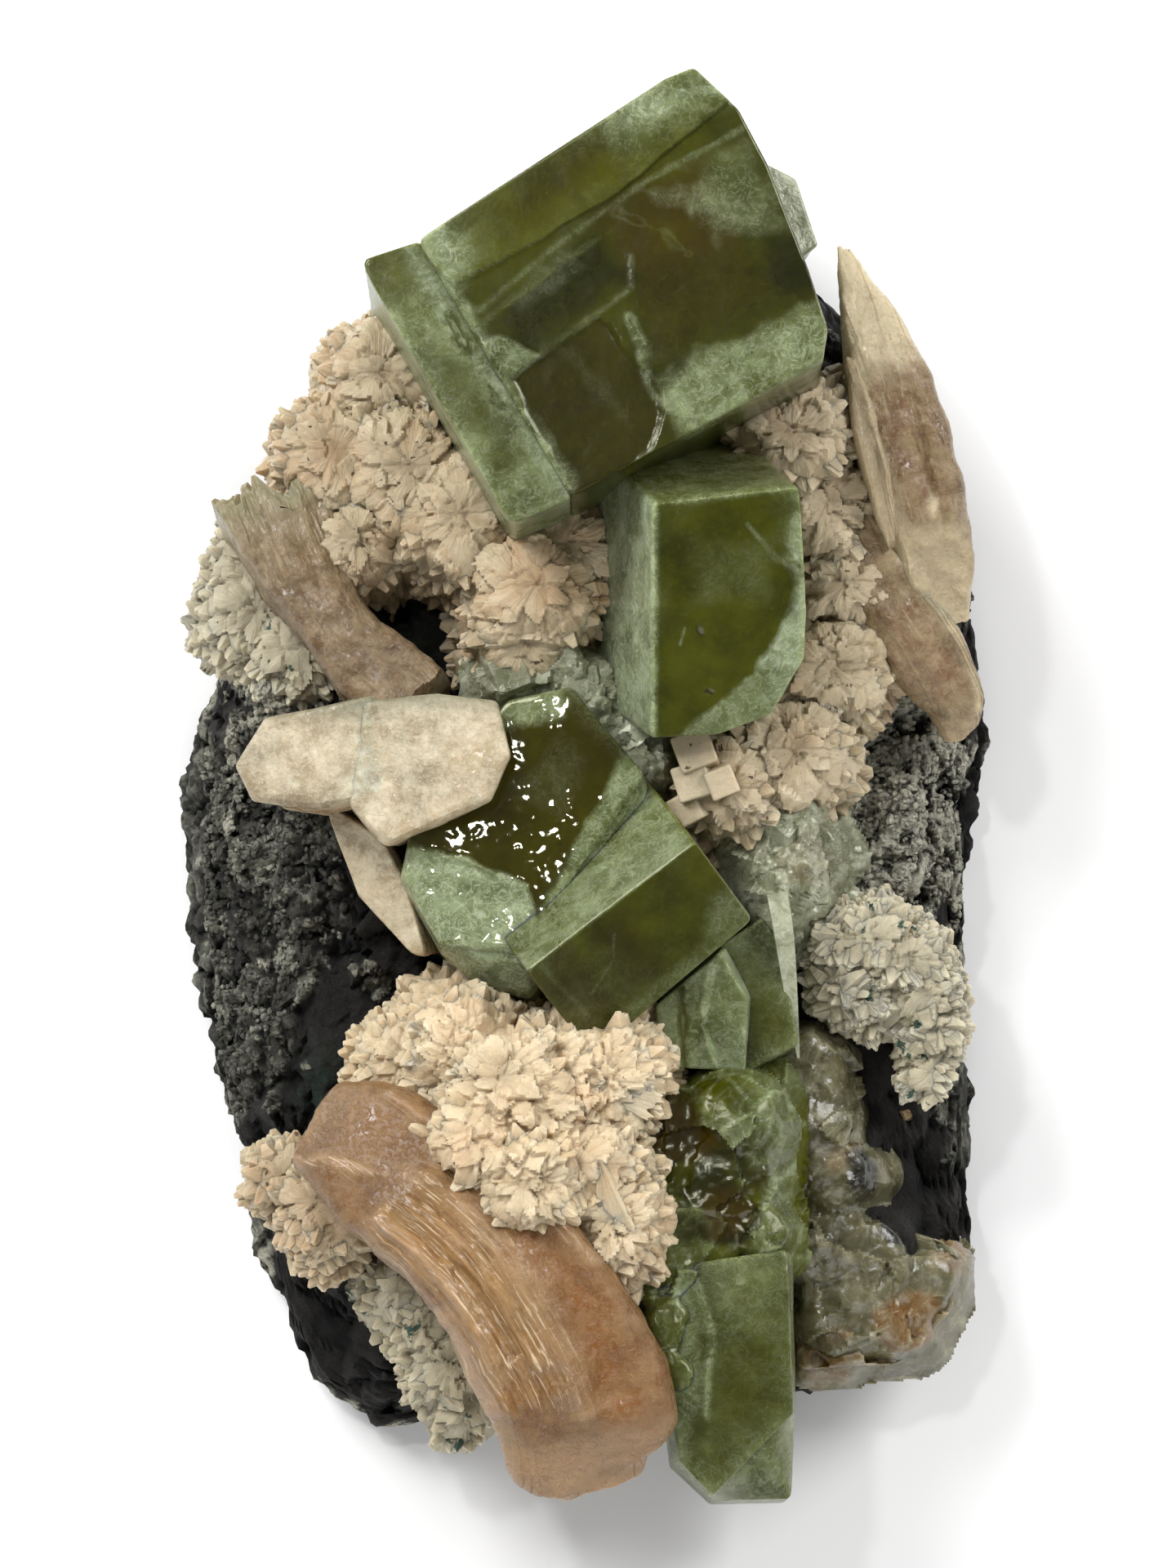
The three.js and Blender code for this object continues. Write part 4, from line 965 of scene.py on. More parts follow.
def sheaf(spec):
    # a flat-bottomed oval is carried along a smooth path and widened by the given widths; ribs that run with
    # the path lift its crown, and each blade's end slides out or in along the path
    rows, turns, capRows = spec["rows"], spec["turns"], 14
    line = smoothPath([(*knot, width) for knot, width in zip(spec["path"], spec["widths"])], rows)
    width = line[:, 3:4]
    tangent = unit(np.gradient(line[:, :3], axis=0))
    side = unit(np.cross(tangent, skyward))
    crown = np.cross(side, tangent)
    strides = np.linalg.norm(np.diff(line[:, :3], axis=0), axis=1)
    travelled = np.concatenate([[0], np.cumsum(strides)])[:, None]
    # two thirds of the turns lie on the crown, where they show
    angle = pi * np.concatenate([np.linspace(0, 1, 2 * turns // 3, endpoint=False),
                                 np.linspace(1, 2, turns - 2 * turns // 3, endpoint=False)])
    acrossShare = 0.5 * np.sign(np.cos(angle)) * np.abs(np.cos(angle)) ** 0.45
    top = spec["thickness"] * spec.get("drop", 0.16)
    rise = np.where(np.sin(angle) > 0, top * (np.abs(np.sin(angle)) ** 0.9 - 1),
                    -top - (spec["thickness"] - top) * np.abs(np.sin(angle)) ** 0.35)
    across = acrossShare * width
    arc = across + 0.35 * rise  # mm across the blades, carried on down the sides
    seed = spec["seed"]
    bladePlace = np.stack([arc, travelled / 26 + 0 * arc, 0 * arc], axis=-1)
    broad = cloud(bladePlace * (1, 2.6, 1), spec["ribSize"], 2, seed)
    terraces = np.round(broad * 3.2) / 3.2
    fine = 1 - np.abs(cloud(bladePlace * (1, 5, 1), 0.9, 3, seed + 4, 0.6)) * 2
    ribs = spec["ribHeight"] * (0.55 * terraces + 0.45 * broad) + spec.get("fine", 0.06) * fine
    flatPlace = np.stack([arc, travelled + 0 * arc, 0 * arc], axis=-1)
    ribs = ribs + spec.get("rough", 0.12) * cloud(flatPlace, 1.6, 4, seed + 14)
    values = {key: 0 * arc for key in ("glow", "even", "milkiness", "shine", "striped")}
    for index, feature in enumerate(spec.get("features", [])):
        share = featureShare(10 * acrossShare + 0 * arc, travelled + 0 * arc, feature, seed + 31 + index)
        ribs = ribs * (1 - share * feature.get("calm", 0)) + feature.get("lift", 0) * share
        for key in values:
            if key in feature:
                values[key] = values[key] + (feature[key] - values[key]) * share
    stripes = cloud(bladePlace * (1, 1.2, 1), 0.6, 3, seed + 18, 0.6)
    ribs = ribs + values.pop("striped") * 0.26 * stripes
    onCrown = eased(1.25 + rise / (0.55 * spec["thickness"]))
    height = rise + ribs * onCrown
    bulge = ribs * 0.5 * (1 - onCrown) * np.sign(np.cos(angle))
    edgePlace = np.stack(np.broadcast_arrays(travelled, 9 * np.sign(acrossShare), 0.15 * rise), axis=-1)
    edgeWander = spec.get("sideRagged", 0.0) * cloud(edgePlace, 2.6, 4, seed + 16)
    bulge = bulge + edgeWander * np.abs(2 * acrossShare) ** 2 * np.sign(acrossShare)

    bladeEnd = cloud(np.stack([arc, 0 * arc, 0.6 * height], axis=-1), 1.5, 2, seed + 8)
    bladeEnd = np.round(bladeEnd * 4) / 4
    length = travelled[-1]
    nearStart, nearEnd = eased(1 - travelled / 4.0), eased(1 - (length - travelled) / 4.0)
    slide = spec["ragged"][1] * bladeEnd * nearEnd - spec["ragged"][0] * bladeEnd * nearStart
    rings = line[:, None, :3] + (across + bulge)[..., None] * side[:, None]
    rings = rings + height[..., None] * crown[:, None] + slide[..., None] * tangent[:, None]

    def cap(ring, direction, bulgeOut, ragged):
        # the end face: the end ring shrinks to its middle while blades stand out or back
        share = np.linspace(1, 0.04, capRows)[1:, None, None]
        middle = ring.mean(axis=0)
        inner = middle + share * (ring - middle)
        flutes = cloud(inner * (1, 1, 0.35), 1.3, 3, seed + 12)
        out = bulgeOut * (1 - share[..., 0] ** 2)
        out = out + 0.5 * ragged * np.round(flutes * 4) / 4 * eased((1 - share[..., 0]) * 6)
        return inner + out[..., None] * direction

    start = cap(rings[0], -tangent[0], spec.get("endBulge", (1.0, 1.0))[0], spec["ragged"][0])[::-1]
    end = cap(rings[-1], tangent[-1], spec.get("endBulge", (1.0, 1.0))[1], spec["ragged"][1])
    allRings = np.concatenate([start, rings, end])
    pad = ((capRows - 1, capRows - 1), (0, 0))
    arcAll = np.pad(arc, pad, mode="edge")
    travelledAll = np.pad(travelled + 0 * arc, pad, mode="edge")
    grain = np.stack([arcAll, travelledAll, np.pad(height, pad, mode="edge")], axis=-1)
    fringeStart, fringeEnd = np.exp(-travelledAll / 3.0), np.exp(-(length[0] - travelledAll) / 2.5)
    fringe = spec["fringe"][0] * fringeStart + spec["fringe"][1] * fringeEnd
    rind = np.pad(1 - onCrown + 0 * arc, pad, mode="edge") * 0.8
    fringe = fringe + np.pad(values["milkiness"], pad, mode="edge")
    return sleeve(allRings, {
        "grain": grain * mm, "fringe": np.clip(fringe, 0, 1), "rind": np.clip(rind, 0, 1),
        **{key: np.pad(values[key], pad, mode="edge") for key in ("glow", "even", "shine")},
    })


lowerSheaf = {
    "path": [(-24.4, -30.8, 31), (-19, -34.0, 34), (-8.8, -42.4, 36.5), (-1.4, -54, 34.5), (0.4, -61.4, 31),
             (1.2, -63.8, 29.2)],
    "widths": [9.6, 13.4, 14.4, 16.4, 15.0, 9.5], "thickness": 15, "rows": 220, "turns": 330,
    "ribSize": 3.0, "ribHeight": 0.4,
    "ragged": (0.3, 0.4), "fringe": (0.25, 0.2), "seed": 81, "endBulge": (2.0, 0.6), "drop": 0.2,
    "rough": 0.28, "sideRagged": 0.5, "fine": 0.05,
    "features": [
        # across from -5 (left) to 5 (right), then mm along: smooth head with a rim, fibrous ridge, streaked
        # right side
        {"patch": [(-5.5, -1), (5.5, -1), (5.5, 9), (-2, 13), (-5.5, 12)], "soft": 3.0, "calm": 0.85,
         "even": 1.0, "ragged": 1.5, "lift": -0.4},
        {"line": [(4.2, 0.5), (2.6, 2.5), (0.8, 9), (-1.2, 13.5)], "width": 0.45, "lift": 0.3,
         "milkiness": 0.4, "shine": 0.8, "ragged": 0.6},
        {"line": [(-3.9, 5), (-3.8, 16), (-4.5, 27)], "width": 0.6, "lift": 0.5, "milkiness": 0.4,
         "shine": 0.6, "ragged": 0.3},
        {"patch": [(-4.6, 21), (-1.2, 21), (-0.6, 40), (-4.0, 42)], "soft": 3.0, "glow": 0.5, "even": 0.5,
         "calm": 0.4, "ragged": 0.9},
        {"line": [(-2.9, 19), (-2.6, 28), (-1.8, 37)], "width": 1.0, "lift": -0.9, "glow": 0.8, "even": 0.8,
         "ragged": 0.6},
        {"line": [(-0.6, 13), (-0.3, 26), (0.0, 38)], "width": 0.8, "lift": 0.5, "milkiness": 0.3,
         "shine": 0.6, "ragged": 0.5},
        {"patch": [(-1.4, 12), (4.8, 10), (4.8, 35), (0.4, 37)], "soft": 3.0, "striped": 1.5, "shine": 1.0,
         "lift": 0.3, "ragged": 1.0},
        {"line": [(2.2, 12), (2.4, 22), (2.2, 30)], "width": 0.35, "lift": -0.45, "ragged": 0.4},
        {"line": [(3.4, 11), (3.5, 22), (3.6, 32)], "width": 0.4, "lift": 0.35, "milkiness": 0.4,
         "shine": 1.0, "ragged": 0.4},
        {"patch": [(1.4, 33), (4.0, 31), (4.0, 41), (1.6, 42)], "soft": 3.0, "glow": 0.45, "even": 0.5,
         "calm": 0.4, "lift": -0.2, "ragged": 0.9},
        {"patch": [(4.0, 23), (5.5, 22), (5.5, 46), (4.2, 46)], "soft": 1.2, "milkiness": 0.6,
         "ragged": 0.9, "lift": -0.5},
        {"patch": [(-5.5, 40), (5.5, 39.5), (5.5, 50), (-5.5, 50)], "soft": 2.5, "milkiness": 0.5,
         "ragged": 1.2, "even": 0.8, "lift": -0.3},
    ],
}
upperLeftSheaf = {
    "path": [(-28.3, 26, 25), (-23.4, 15, 27.5), (-16, 6.6, 29)], "widths": [11, 6.6, 8.4], "thickness": 11,
    "rows": 150, "turns": 240, "ribSize": 1.6, "ribHeight": 0.35, "ragged": (2.6, 0.6), "fringe": (1.1, 0.1),
    "seed": 85, "endBulge": (0.2, 0.5), "rough": 0.45, "fine": 0.03, "sideRagged": 0.5,
    "features": [
        {"patch": [(-6, -1), (6, -1), (6, 9), (-6, 9)], "soft": 4.0, "striped": 1.6, "shine": 0.6},
        {"patch": [(-6, 12), (6, 12), (6, 26), (-6, 26)], "soft": 5.0, "even": 0.6},
        {"line": [(1, 6), (-1, 14), (1, 22)], "width": 1.6, "lift": 0.5, "ragged": 0.8},
    ],
}
rightSheaf = {
    "path": [(23.1, 47.4, 26), (25.2, 41.0, 28), (27.2, 35.0, 28.6), (28.9, 29.0, 28.2), (30.4, 23.0, 27.4),
             (31.7, 17.6, 26), (32.8, 14.0, 24.4)],
    "widths": [1.4, 5.4, 7.6, 8.0, 7.8, 6.6, 3.2], "thickness": 12, "rows": 180, "turns": 250,
    "ribSize": 2.4, "ribHeight": 0.4,
    "ragged": (1.6, 0.5), "fringe": (0.3, 0.3), "seed": 89, "endBulge": (0.4, 0.6), "rough": 0.5,
    "sideRagged": 0.4, "fine": 0.03,
    "features": [
        {"patch": [(-6, -2), (6, -2), (6, 13), (-6, 11)], "soft": 4.0, "milkiness": 0.9, "striped": 0.5,
         "ragged": 1.5},
        {"patch": [(-3, 12), (3.2, 13), (2.4, 26), (-3.0, 25)], "soft": 4.0, "glow": 0.55, "even": 0.6,
         "shine": 0.5, "ragged": 1.8},
        {"line": [(-1.6, 15), (-1.0, 21), (-1.4, 26)], "width": 0.8, "lift": -0.6, "glow": 0.6,
         "ragged": 0.8},
        {"line": [(4.2, 4), (4.3, 18), (3.9, 31)], "width": 1.2, "lift": 0.3, "milkiness": 0.7,
         "shine": 0.4, "ragged": 0.7},
        {"line": [(-1.2, 24.6), (-0.8, 25.8)], "width": 0.6, "lift": 0.3, "milkiness": 0.9, "ragged": 0.4},
        {"patch": [(-5, 26), (5, 26), (4.5, 40), (-4.5, 40)], "soft": 3.0, "milkiness": 0.45, "ragged": 1.6},
    ],
}
narrowBlade = {
    "path": [(23.5, 37.4, 29), (24.6, 31.6, 30.6), (26.0, 25.6, 30.4), (27.1, 20.4, 28.6)],
    "widths": [1.0, 2.3, 2.2, 1.0], "thickness": 6, "rows": 70, "turns": 90, "ribSize": 1.2, "ribHeight": 0.4,
    "ragged": (0.6, 0.8), "fringe": (0.2, 0.2), "seed": 101, "rough": 0.2, "sideRagged": 0.3,
    "features": [{"patch": [(-6, -2), (6, -2), (6, 30), (-6, 30)], "soft": 1.0, "milkiness": 0.35,
                  "shine": 0.4}],
}
lowBlade = {
    "path": [(22.6, 26.4, 26.4), (25.4, 19.4, 26.6), (29.4, 13.0, 25.2), (32.6, 8.0, 22.6),
             (33.6, 4.4, 20.4)],
    "widths": [2.0, 5.2, 7.2, 6.4, 3.4], "thickness": 9, "rows": 110, "turns": 180, "ribSize": 2.0,
    "ribHeight": 0.45,
    "ragged": (0.6, 0.6), "fringe": (0.2, 0.3), "seed": 103, "rough": 0.45, "sideRagged": 0.4, "fine": 0.03,
    "features": [
        {"patch": [(-2, 12), (4, 12), (3, 22), (-3, 22)], "soft": 3.0, "glow": 0.5, "even": 0.6,
         "shine": 0.4, "ragged": 1.4},
        {"line": [(-4.3, 3), (-4.2, 14), (-4.0, 24)], "width": 0.7, "milkiness": 0.6, "ragged": 0.6},
    ],
}

tabletLook = {"grain": True, "edge": 0.9, "wear": 4, "ripple": 0.28, "grooves": 0.25,
              "rippleOctaves": 4}
leftSmall = {
    **tabletLook, "centre": (-19.4, 0.2, 33.0), "facing": (-0.1, 0.05, 1), "turns": 270, "faceRows": 50,
    "sideRows": 22,
    "levels": [(0, [(-12, 0.4), (-9.4, 4.6), (0.6, 6.6), (1.8, -2.4), (-4.4, -3.6), (-10.4, -2.8)]),
               (10, [(-9.6, 0.3), (-7.5, 3.7), (0.5, 5.3), (1.4, -1.9), (-3.5, -2.9), (-8.3, -2.2)])],
    "seed": 91, "fringeStart": 3.4,
}
leftLarge = {
    **tabletLook, "centre": (-19.4, 0.2, 33.2), "facing": (-0.1, 0.05, 1), "turns": 270, "faceRows": 50,
    "sideRows": 22,
    "levels": [(0, [(-0.8, 6), (6, 6.6), (11.4, 5.8), (12.6, 0.8), (10.8, -3.2), (1.4, -7.2), (-2, -3.4)]),
               (12,
                [(-0.6, 4.8), (4.8, 5.3), (9.1, 4.6), (10.1, 0.6), (8.6, -2.6), (1.1, -5.8), (-1.6, -2.7)])],
    "seed": 93, "fringeStart": 4.0,
}
wedge = {
    **tabletLook, "centre": (-19.2, -8.8, 27.5), "facing": (-0.25, -0.1, 1), "turns": 220, "faceRows": 40,
    "sideRows": 20,
    "edge": 0.4, "levels": [(depth, [(-4.6, 6.4), (0.8, 3.2), (3, -0.8), (5, -7.4), (3.6, -7.2), (-1.4, -2)])
                            for depth in (0, 14)],
    "seed": 97, "fringeStart": 90,
}

addPiece("lowerSheaf", [sheaf(lowerSheaf)], materials["peach"], ["stilbite_lower"])
addPiece("upperLeftSheaf", [sheaf(upperLeftSheaf)], materials["rose"], ["stilbite_upper_left"])
addPiece("rightSheaf", [sheaf(rightSheaf), sheaf(narrowBlade), sheaf(lowBlade)], materials["sand"],
         ["stilbite_right"])
addPiece("leftTablets", [crystalBlock(leftSmall), crystalBlock(leftLarge)], materials["cream"],
         ["stilbite_left"])
addPiece("wedgeTablet", [crystalBlock(wedge)], materials["cream"], ["stilbite_wedge"])
print("stilbite made")


# Heulandite crusts.

def pillow(front, back, values):
    # many plates at once: quads cover a front and a back grid of points and join them round their border
    count, rows, columns = front.shape[:3]
    size = rows * columns
    here = np.arange(size).reshape(rows, columns)
    faces = np.stack([here[:-1, :-1], here[:-1, 1:], here[1:, 1:], here[1:, :-1]], axis=-1).reshape(-1, 4)
    border = np.concatenate([here[0, :-1], here[:-1, -1], here[-1, :0:-1], here[:0:-1, 0]])
    beside = np.roll(border, -1)
    strip = np.stack([beside, border, border + size, beside + size], axis=-1)
    quads = np.vstack([faces, faces[:, ::-1] + size, strip])
    quads = (quads + 2 * size * np.arange(count)[:, None, None]).reshape(-1, 4)
    points = np.concatenate([front.reshape(count, size, 3), back.reshape(count, size, 3)],
                            axis=1).reshape(-1, 3)
    spread = {name: np.concatenate([value.reshape(count, size)] * 2, axis=1).ravel() for name,
              value in values.items()}
    return outward({"points": points, "quads": quads, "triangles": np.zeros((0, 3), int), "values": spread})


plateEdge = np.array([(-0.5, 0, 0.5), (-0.5, 0.5, 0.5), (-0.08, 1, 0.2), (0.08, 1, 0.2), (0.5, 0.5, 0.5),
                      (0.5, 0, 0.5)])


def plateTemplate():
    # a pointed plate: its outline twice, half a thickness to each side, and a raised middle on both faces
    sides = len(plateEdge)
    layers = [plateEdge * (1, 1, way) for way in (-1, 1)]
    points = np.vstack([*layers, (0, 0.5, -0.65), (0, 0.5, 0.65)])
    here = np.arange(sides)
    beside = (here + 1) % sides
    rim = [(here, beside, beside + sides), (here, beside + sides, here + sides)]
    fans = [(beside, here, np.full(sides, 2 * sides)),
            (here + sides, beside + sides, np.full(sides, 2 * sides + 1))]
    return points, np.vstack([np.column_stack(corner) for corner in rim + fans])


def plates(roots, pointing, facing, size, tone):
    # the template scaled to width, length and thickness along each plate's own three axes, all plates at once
    template, faces = plateTemplate()
    sideways = np.cross(pointing, facing)
    axes = np.stack([sideways * size[:, :1], pointing * size[:, 1:2], facing * size[:, 2:]], axis=1)
    points = roots[:, None] + np.einsum("pi,nij->npj", template, axes)
    count = len(template)
    triangles = (faces + count * np.arange(len(roots))[:, None, None]).reshape(-1, 3)
    # tip runs from 0.3 at the root to 1 at the point: the material paints shade towards the root
    tip = np.broadcast_to(np.clip(template[:, 1] * 1.6 - 0.5, 0, 1), points.shape[:2])
    return outward({
        "points": points.reshape(-1, 3), "quads": np.zeros((0, 4), int), "triangles": triangles,
        "values": {"tip": 0.3 + 0.7 * tip.ravel(), "tone": np.repeat(tone, count),
                   "across": (template[:, 0] * size[:, :1] + 5 * np.arange(len(roots))[:, None]).ravel(),
                   "along": (template[:, 1] * size[:, 1:2]).ravel()},
    })


def bookletRelief(points, seed):
    # booklets of plates: scattered cells, each a step set at its own height and tilted its own way, with a
    # sawtooth of plates across it; also a share that is lower where the booklet sits lower and in the gaps
    # between cells, which paints shade there, and the cell's random number
    bent = points + 0.8 * cloud(points, 2.2, 3, seed + 10)[..., None]
    nearest, second, tone, step = cells(bent, 1.7, seed)
    turn = 37.0 * tone
    way = np.stack([np.cos(turn), np.sin(turn), 0.7 * np.cos(3 * turn)], axis=-1)
    across = np.sum(step * unit(way), axis=-1)
    saw = (across / 0.7 + 9 * tone) % 1
    gaps = np.exp(-(((second - nearest) / 0.12) ** 2))
    booklet = 0.35 * across + 0.4 * (tone * 5 % 1 - 0.5) + 0.14 * saw - 0.12 * gaps
    relief = 0.9 * cloud(points, 4.0, 3, seed + 11) + booklet
    return relief, np.clip(0.8 + 0.4 * booklet, 0, 1), tone * 13 % 1


def rosetteRelief(points, centreX, centreY, size, seed):
    # rows of pointed plates round a centre, each row lapping over the next outer one: a plate rises to its
    # rim, which lies at its own distance, and drops to the row below; also a share that paints shade on the
    # inner part of each plate, under the row that laps over it, and the distance across and along its plate;
    # lengths are in units of the given size in mm
    x, y = (points[..., 0] - centreX) / size, (points[..., 1] - centreY) / size
    distance = np.hypot(x, y) + 0.7 * cloud(points, 3.0, 3, seed)
    turn = (np.arctan2(y, x) / (2 * pi) + 0.03 * cloud(points, 2.0, 2, seed + 1)) % 1
    lift, unshaded, across = np.zeros_like(x), np.zeros_like(x), np.zeros_like(x)
    free = np.ones(x.shape, bool)
    inner = 0.0
    for row in range(8):
        count = 6 + 5 * row
        place = turn * count + 0.37 * row
        plate = np.floor(place) % count
        random = hashed(np.stack([plate, 0 * plate + row, np.floor(7 * centreX)], axis=-1), seed + 3)
        offset = np.abs(2 * (place % 1) - 1)
        rim = inner + 1.1 + 1.6 * random + 1.0 * (1 - offset)
        here = free & (distance < rim)
        share = np.clip(1 - (rim - distance) / 2.4, 0, 1)
        lift = np.where(here, 0.7 * share + 0.6 * (random - 0.5) - 0.3 * offset**2, lift)
        # lower on the plate's inner part: painted shade under the row that laps over it
        unshaded = np.where(here, 0.55 + 0.45 * share, unshaded)
        across = np.where(here, 24 * turn + 7 * random, across)
        free &= ~here
        inner += 1.7
    return lift, unshaded, across, distance


crustLook = {
    "spacing": 0.2, "teeth": 54, "skirt": 3.0, "warp": 1.6, "join": 2.2, "dome": 0.8, "rough": 0.7,
    "plate": 1.0, "tone": (0.0, 0.6),
}


def crust(look):
    # a grown-together mass with blades cut into it along its normals, and teeth that stand out of its steep
    # sides
    look = {**crustLook, **look}
    lumps, seed = look["lumps"], look["seed"]
    random = np.random.default_rng(seed)
    points, normals, bottom = grownHeights(lumps, look, seed)
    kept, solid = coveredCells(points[..., 2], bottom)
    relief, unshaded, tone = bookletRelief(points, seed + 4)
    balls = np.array(lumps, float)
    away = np.hypot(points[..., :1] - balls[:, 0], points[..., 1:2] - balls[:, 1])
    top, radius = balls[:, 2], balls[:, 3]
    tops = top - radius + np.sqrt(np.maximum(radius**2 - away**2, 0)) - 2 * np.maximum(away - radius, 0)
    owner = balls[np.argmax(tops, axis=-1)]
    centreX, centreY = owner[..., 0], owner[..., 1]
    if "rosette" in look:
        middleX, middleY = look["rosette"]
        near = np.hypot(points[..., 0] - middleX, points[..., 1] - middleY) < 9.5
        centreX, centreY = np.where(near, middleX, centreX), np.where(near, middleY, centreY)
    lift, rise, across, along = rosetteRelief(points, centreX, centreY, look["plate"], seed + 5)
    # these shares become the tip value, which paints shade low in the booklets, in their gaps and under each
    # plate row
    relief, unshaded = look["rough"] * relief + lift, 0.4 * unshaded + 0.6 * rise
    tone = look["tone"][0] + look["tone"][1] * tone
    points = points + (relief * kept)[..., None] * normals
    body = slab(points, bottom - 0.4, solid, {"tip": unshaded, "tone": tone, "across": across, "along": along})

    steep = (normals[..., 2] < 0.55) & kept & (points[..., 2] > bottom + 1.5)
    chances = np.where(steep, 1 / np.maximum(normals[..., 2], 0.15), 0.0)
    count = int(look["teeth"] * len(lumps))
    chosen = random.choice(kept.size, count, p=(chances / chances.sum()).ravel())
    outer = normals.reshape(-1, 3)[chosen]
    pointing = unit(outer + random.normal(0, 0.14, (count, 3)))
    facing = unit(np.cross(pointing, random.normal(0, 1, (count, 3))))
    spans = ((1.1, 1.9), (1.8, 2.6), (0.8, 1.3))  # mm, a tooth's width, length and thickness
    size = np.column_stack([random.uniform(*span, count) for span in spans])
    roots = points.reshape(-1, 3)[chosen] - pointing * (size[:, 1:2] * 0.6)
    toothTone = look["tone"][0] + look["tone"][1] * random.uniform(0.2, 0.9, count)
    teeth = plates(roots, pointing, facing, size, toothTone)
    return [body, teeth]


def petals(specs, seed, rows=12, columns=26):
    # fans of grown-together blades: each spreads from its root over an angle, its rim steps in and out blade
    # by blade, ribs run out along it, and it bends down towards its rim
    random = np.random.default_rng(seed)
    parts = []
    for x, y, z, heading, rise, reach, spread in specs:
        share = np.linspace(0.12, 1, rows)[:, None]
        place = np.linspace(-1, 1, columns)
        turn = radians(spread / 2) * place
        blade = np.floor((place + 1) * 3.4)
        step = hashed(np.stack([blade, 0 * blade + len(parts), 0 * blade], axis=-1), seed)
        notches = np.abs(np.sin((place + 1) * 3.4 * pi))
        rim = reach * (1 - 0.2 * place**2 + 0.13 * (step - 0.5) - 0.05 * notches)
        out = share * rim
        level = cos(radians(rise))
        forward = unit([cos(radians(heading)) * level, sin(radians(heading)) * level, sin(radians(rise))])
        side = unit(np.cross(skyward, forward) + random.normal(0, 0.18, 3))
        side = unit(side - forward * (side @ forward))
        normal = np.cross(forward, side)
        u, w = out * np.cos(turn), out * np.sin(turn)
        ribs = 0.16 * cloud(stacked(0 * u + turn * 9, share * 0.7 + 0 * u, len(parts)), 1.0, 3, seed + 2)
        lift = -0.035 * out**2 + ribs * share + 0.1 * (step - 0.5)
        thick = 1.3 - 0.8 * share + 0 * u
        centre = np.array([x, y, z]) + u[..., None] * forward + w[..., None] * side
        front = centre + (lift + thick / 2)[..., None] * normal
        back = centre + (lift - thick / 2)[..., None] * normal
        even = np.ones((1,) + u.shape)
        # tip is low near the root, where the material paints shade, and full towards the rim
        parts.append(pillow(front[None], back[None], {
            "tip": even * np.clip(share * 1.3 + 0.2, 0, 1), "tone": even * random.uniform(0.2, 0.8),
            "across": even * (9 * turn), "along": even * out,
        }))
    return parts


crusts = {
    # lumps are balls: x, y and z of the top, and the radius
    "upperCrust": {
        "node": "heulandite_upper", "material": "heulandite", "seed": 201, "plate": 1.5, "rough": 0.55,
        "skirt": 5.0,
        "lumps": [
            (-18.6, 36.4, 27.5, 5), (-22.6, 29.6, 27, 5.6), (-16, 27.8, 29.5, 5.6), (-25, 23.4, 23, 4.4),
            (-11.4, 23.2, 31, 5), (-4.6, 16.6, 32.5, 5.6), (-5.8, 11.4, 30, 3.6), (-20.6, 21.4, 27, 3.8),
            (-2, 20.6, 31, 5),
        ],
    },
    "rimCrust": {
        "node": "heulandite_rim_left", "material": "stainedHeulandite", "seed": 203, "tone": (0.4, 0.8),
        "lumps": [
            (-30, 15.8, 20, 3.8), (-26, 12.6, 21, 4), (-30.4, 20.4, 19, 3.4),
        ],
    },
    "rightCrust": {
        "node": "heulandite_right", "material": "heulandite", "seed": 205, "tone": (0.3, 0.7), "plate": 1.3,
        "skirt": 4.0,
        "lumps": [
            (18.2, 30.4, 32, 4.8), (21.6, 24.6, 29.5, 4.4), (23, 17.6, 27.5, 4.2), (22, 9.6, 27, 4.6),
            (18.6, 2.4, 28, 5), (12.4, -1.2, 29, 4.4),
        ],
    },
    "centreCrust": {
        "node": "heulandite_centre", "material": "brightHeulandite", "seed": 207, "rosette": (-7.6, -27.5),
        "tone": (0.2, 0.8),
        "lumps": [
            (-16.4, -25.4, 28.5, 3.8), (-11, -24.6, 33, 5.4), (-6.6, -29.6, 37, 6.2), (0.6, -27.6, 34, 5.6),
            (-1, -35.2, 36, 5.2), (1.8, -40, 35, 4), (-10.4, -33.4, 38.6, 3.6), (-5.6, -36.6, 39, 3.8),
        ],
    },
    "lowRightCrust": {
        "node": "heulandite_low_right", "material": "stainedHeulandite", "seed": 209, "tone": (0.5, 0.5),
        "skirt": 2.0,
        "lumps": [
            (22.8, -14, 21.6, 1.5), (25.8, -14.2, 22.2, 1.9), (28.8, -15.8, 21.8, 2.1),
            (30.4, -19.2, 21, 1.9), (31, -22.6, 20, 1.5), (31.2, -25.6, 18.8, 1.1),
            (22.6, -18.2, 21.4, 1.1), (25, -19.4, 20.8, 1.1),
        ],
    },
    "lowLeftCrust": {
        "node": "heulandite_low_left", "material": "heulandite", "seed": 211,
        "lumps": [
            (-27.2, -35.8, 24, 2.8), (-24.4, -38, 26.4, 2.8), (-22.8, -40.8, 25.2, 1.8),
        ],
    },
    "cornerCrust": {
        "node": "heulandite_corner", "material": "stainedHeulandite", "seed": 213, "dome": 0.5, "teeth": 34,
        "tone": (0, 0.3),
        "lumps": [
            (-17, -45.8, 21.4, 1.5), (-14.2, -48.8, 21, 2.2), (-12.2, -52, 20.2, 3),
            (-10.4, -55.4, 18.4, 2.6),
        ],
    },
}

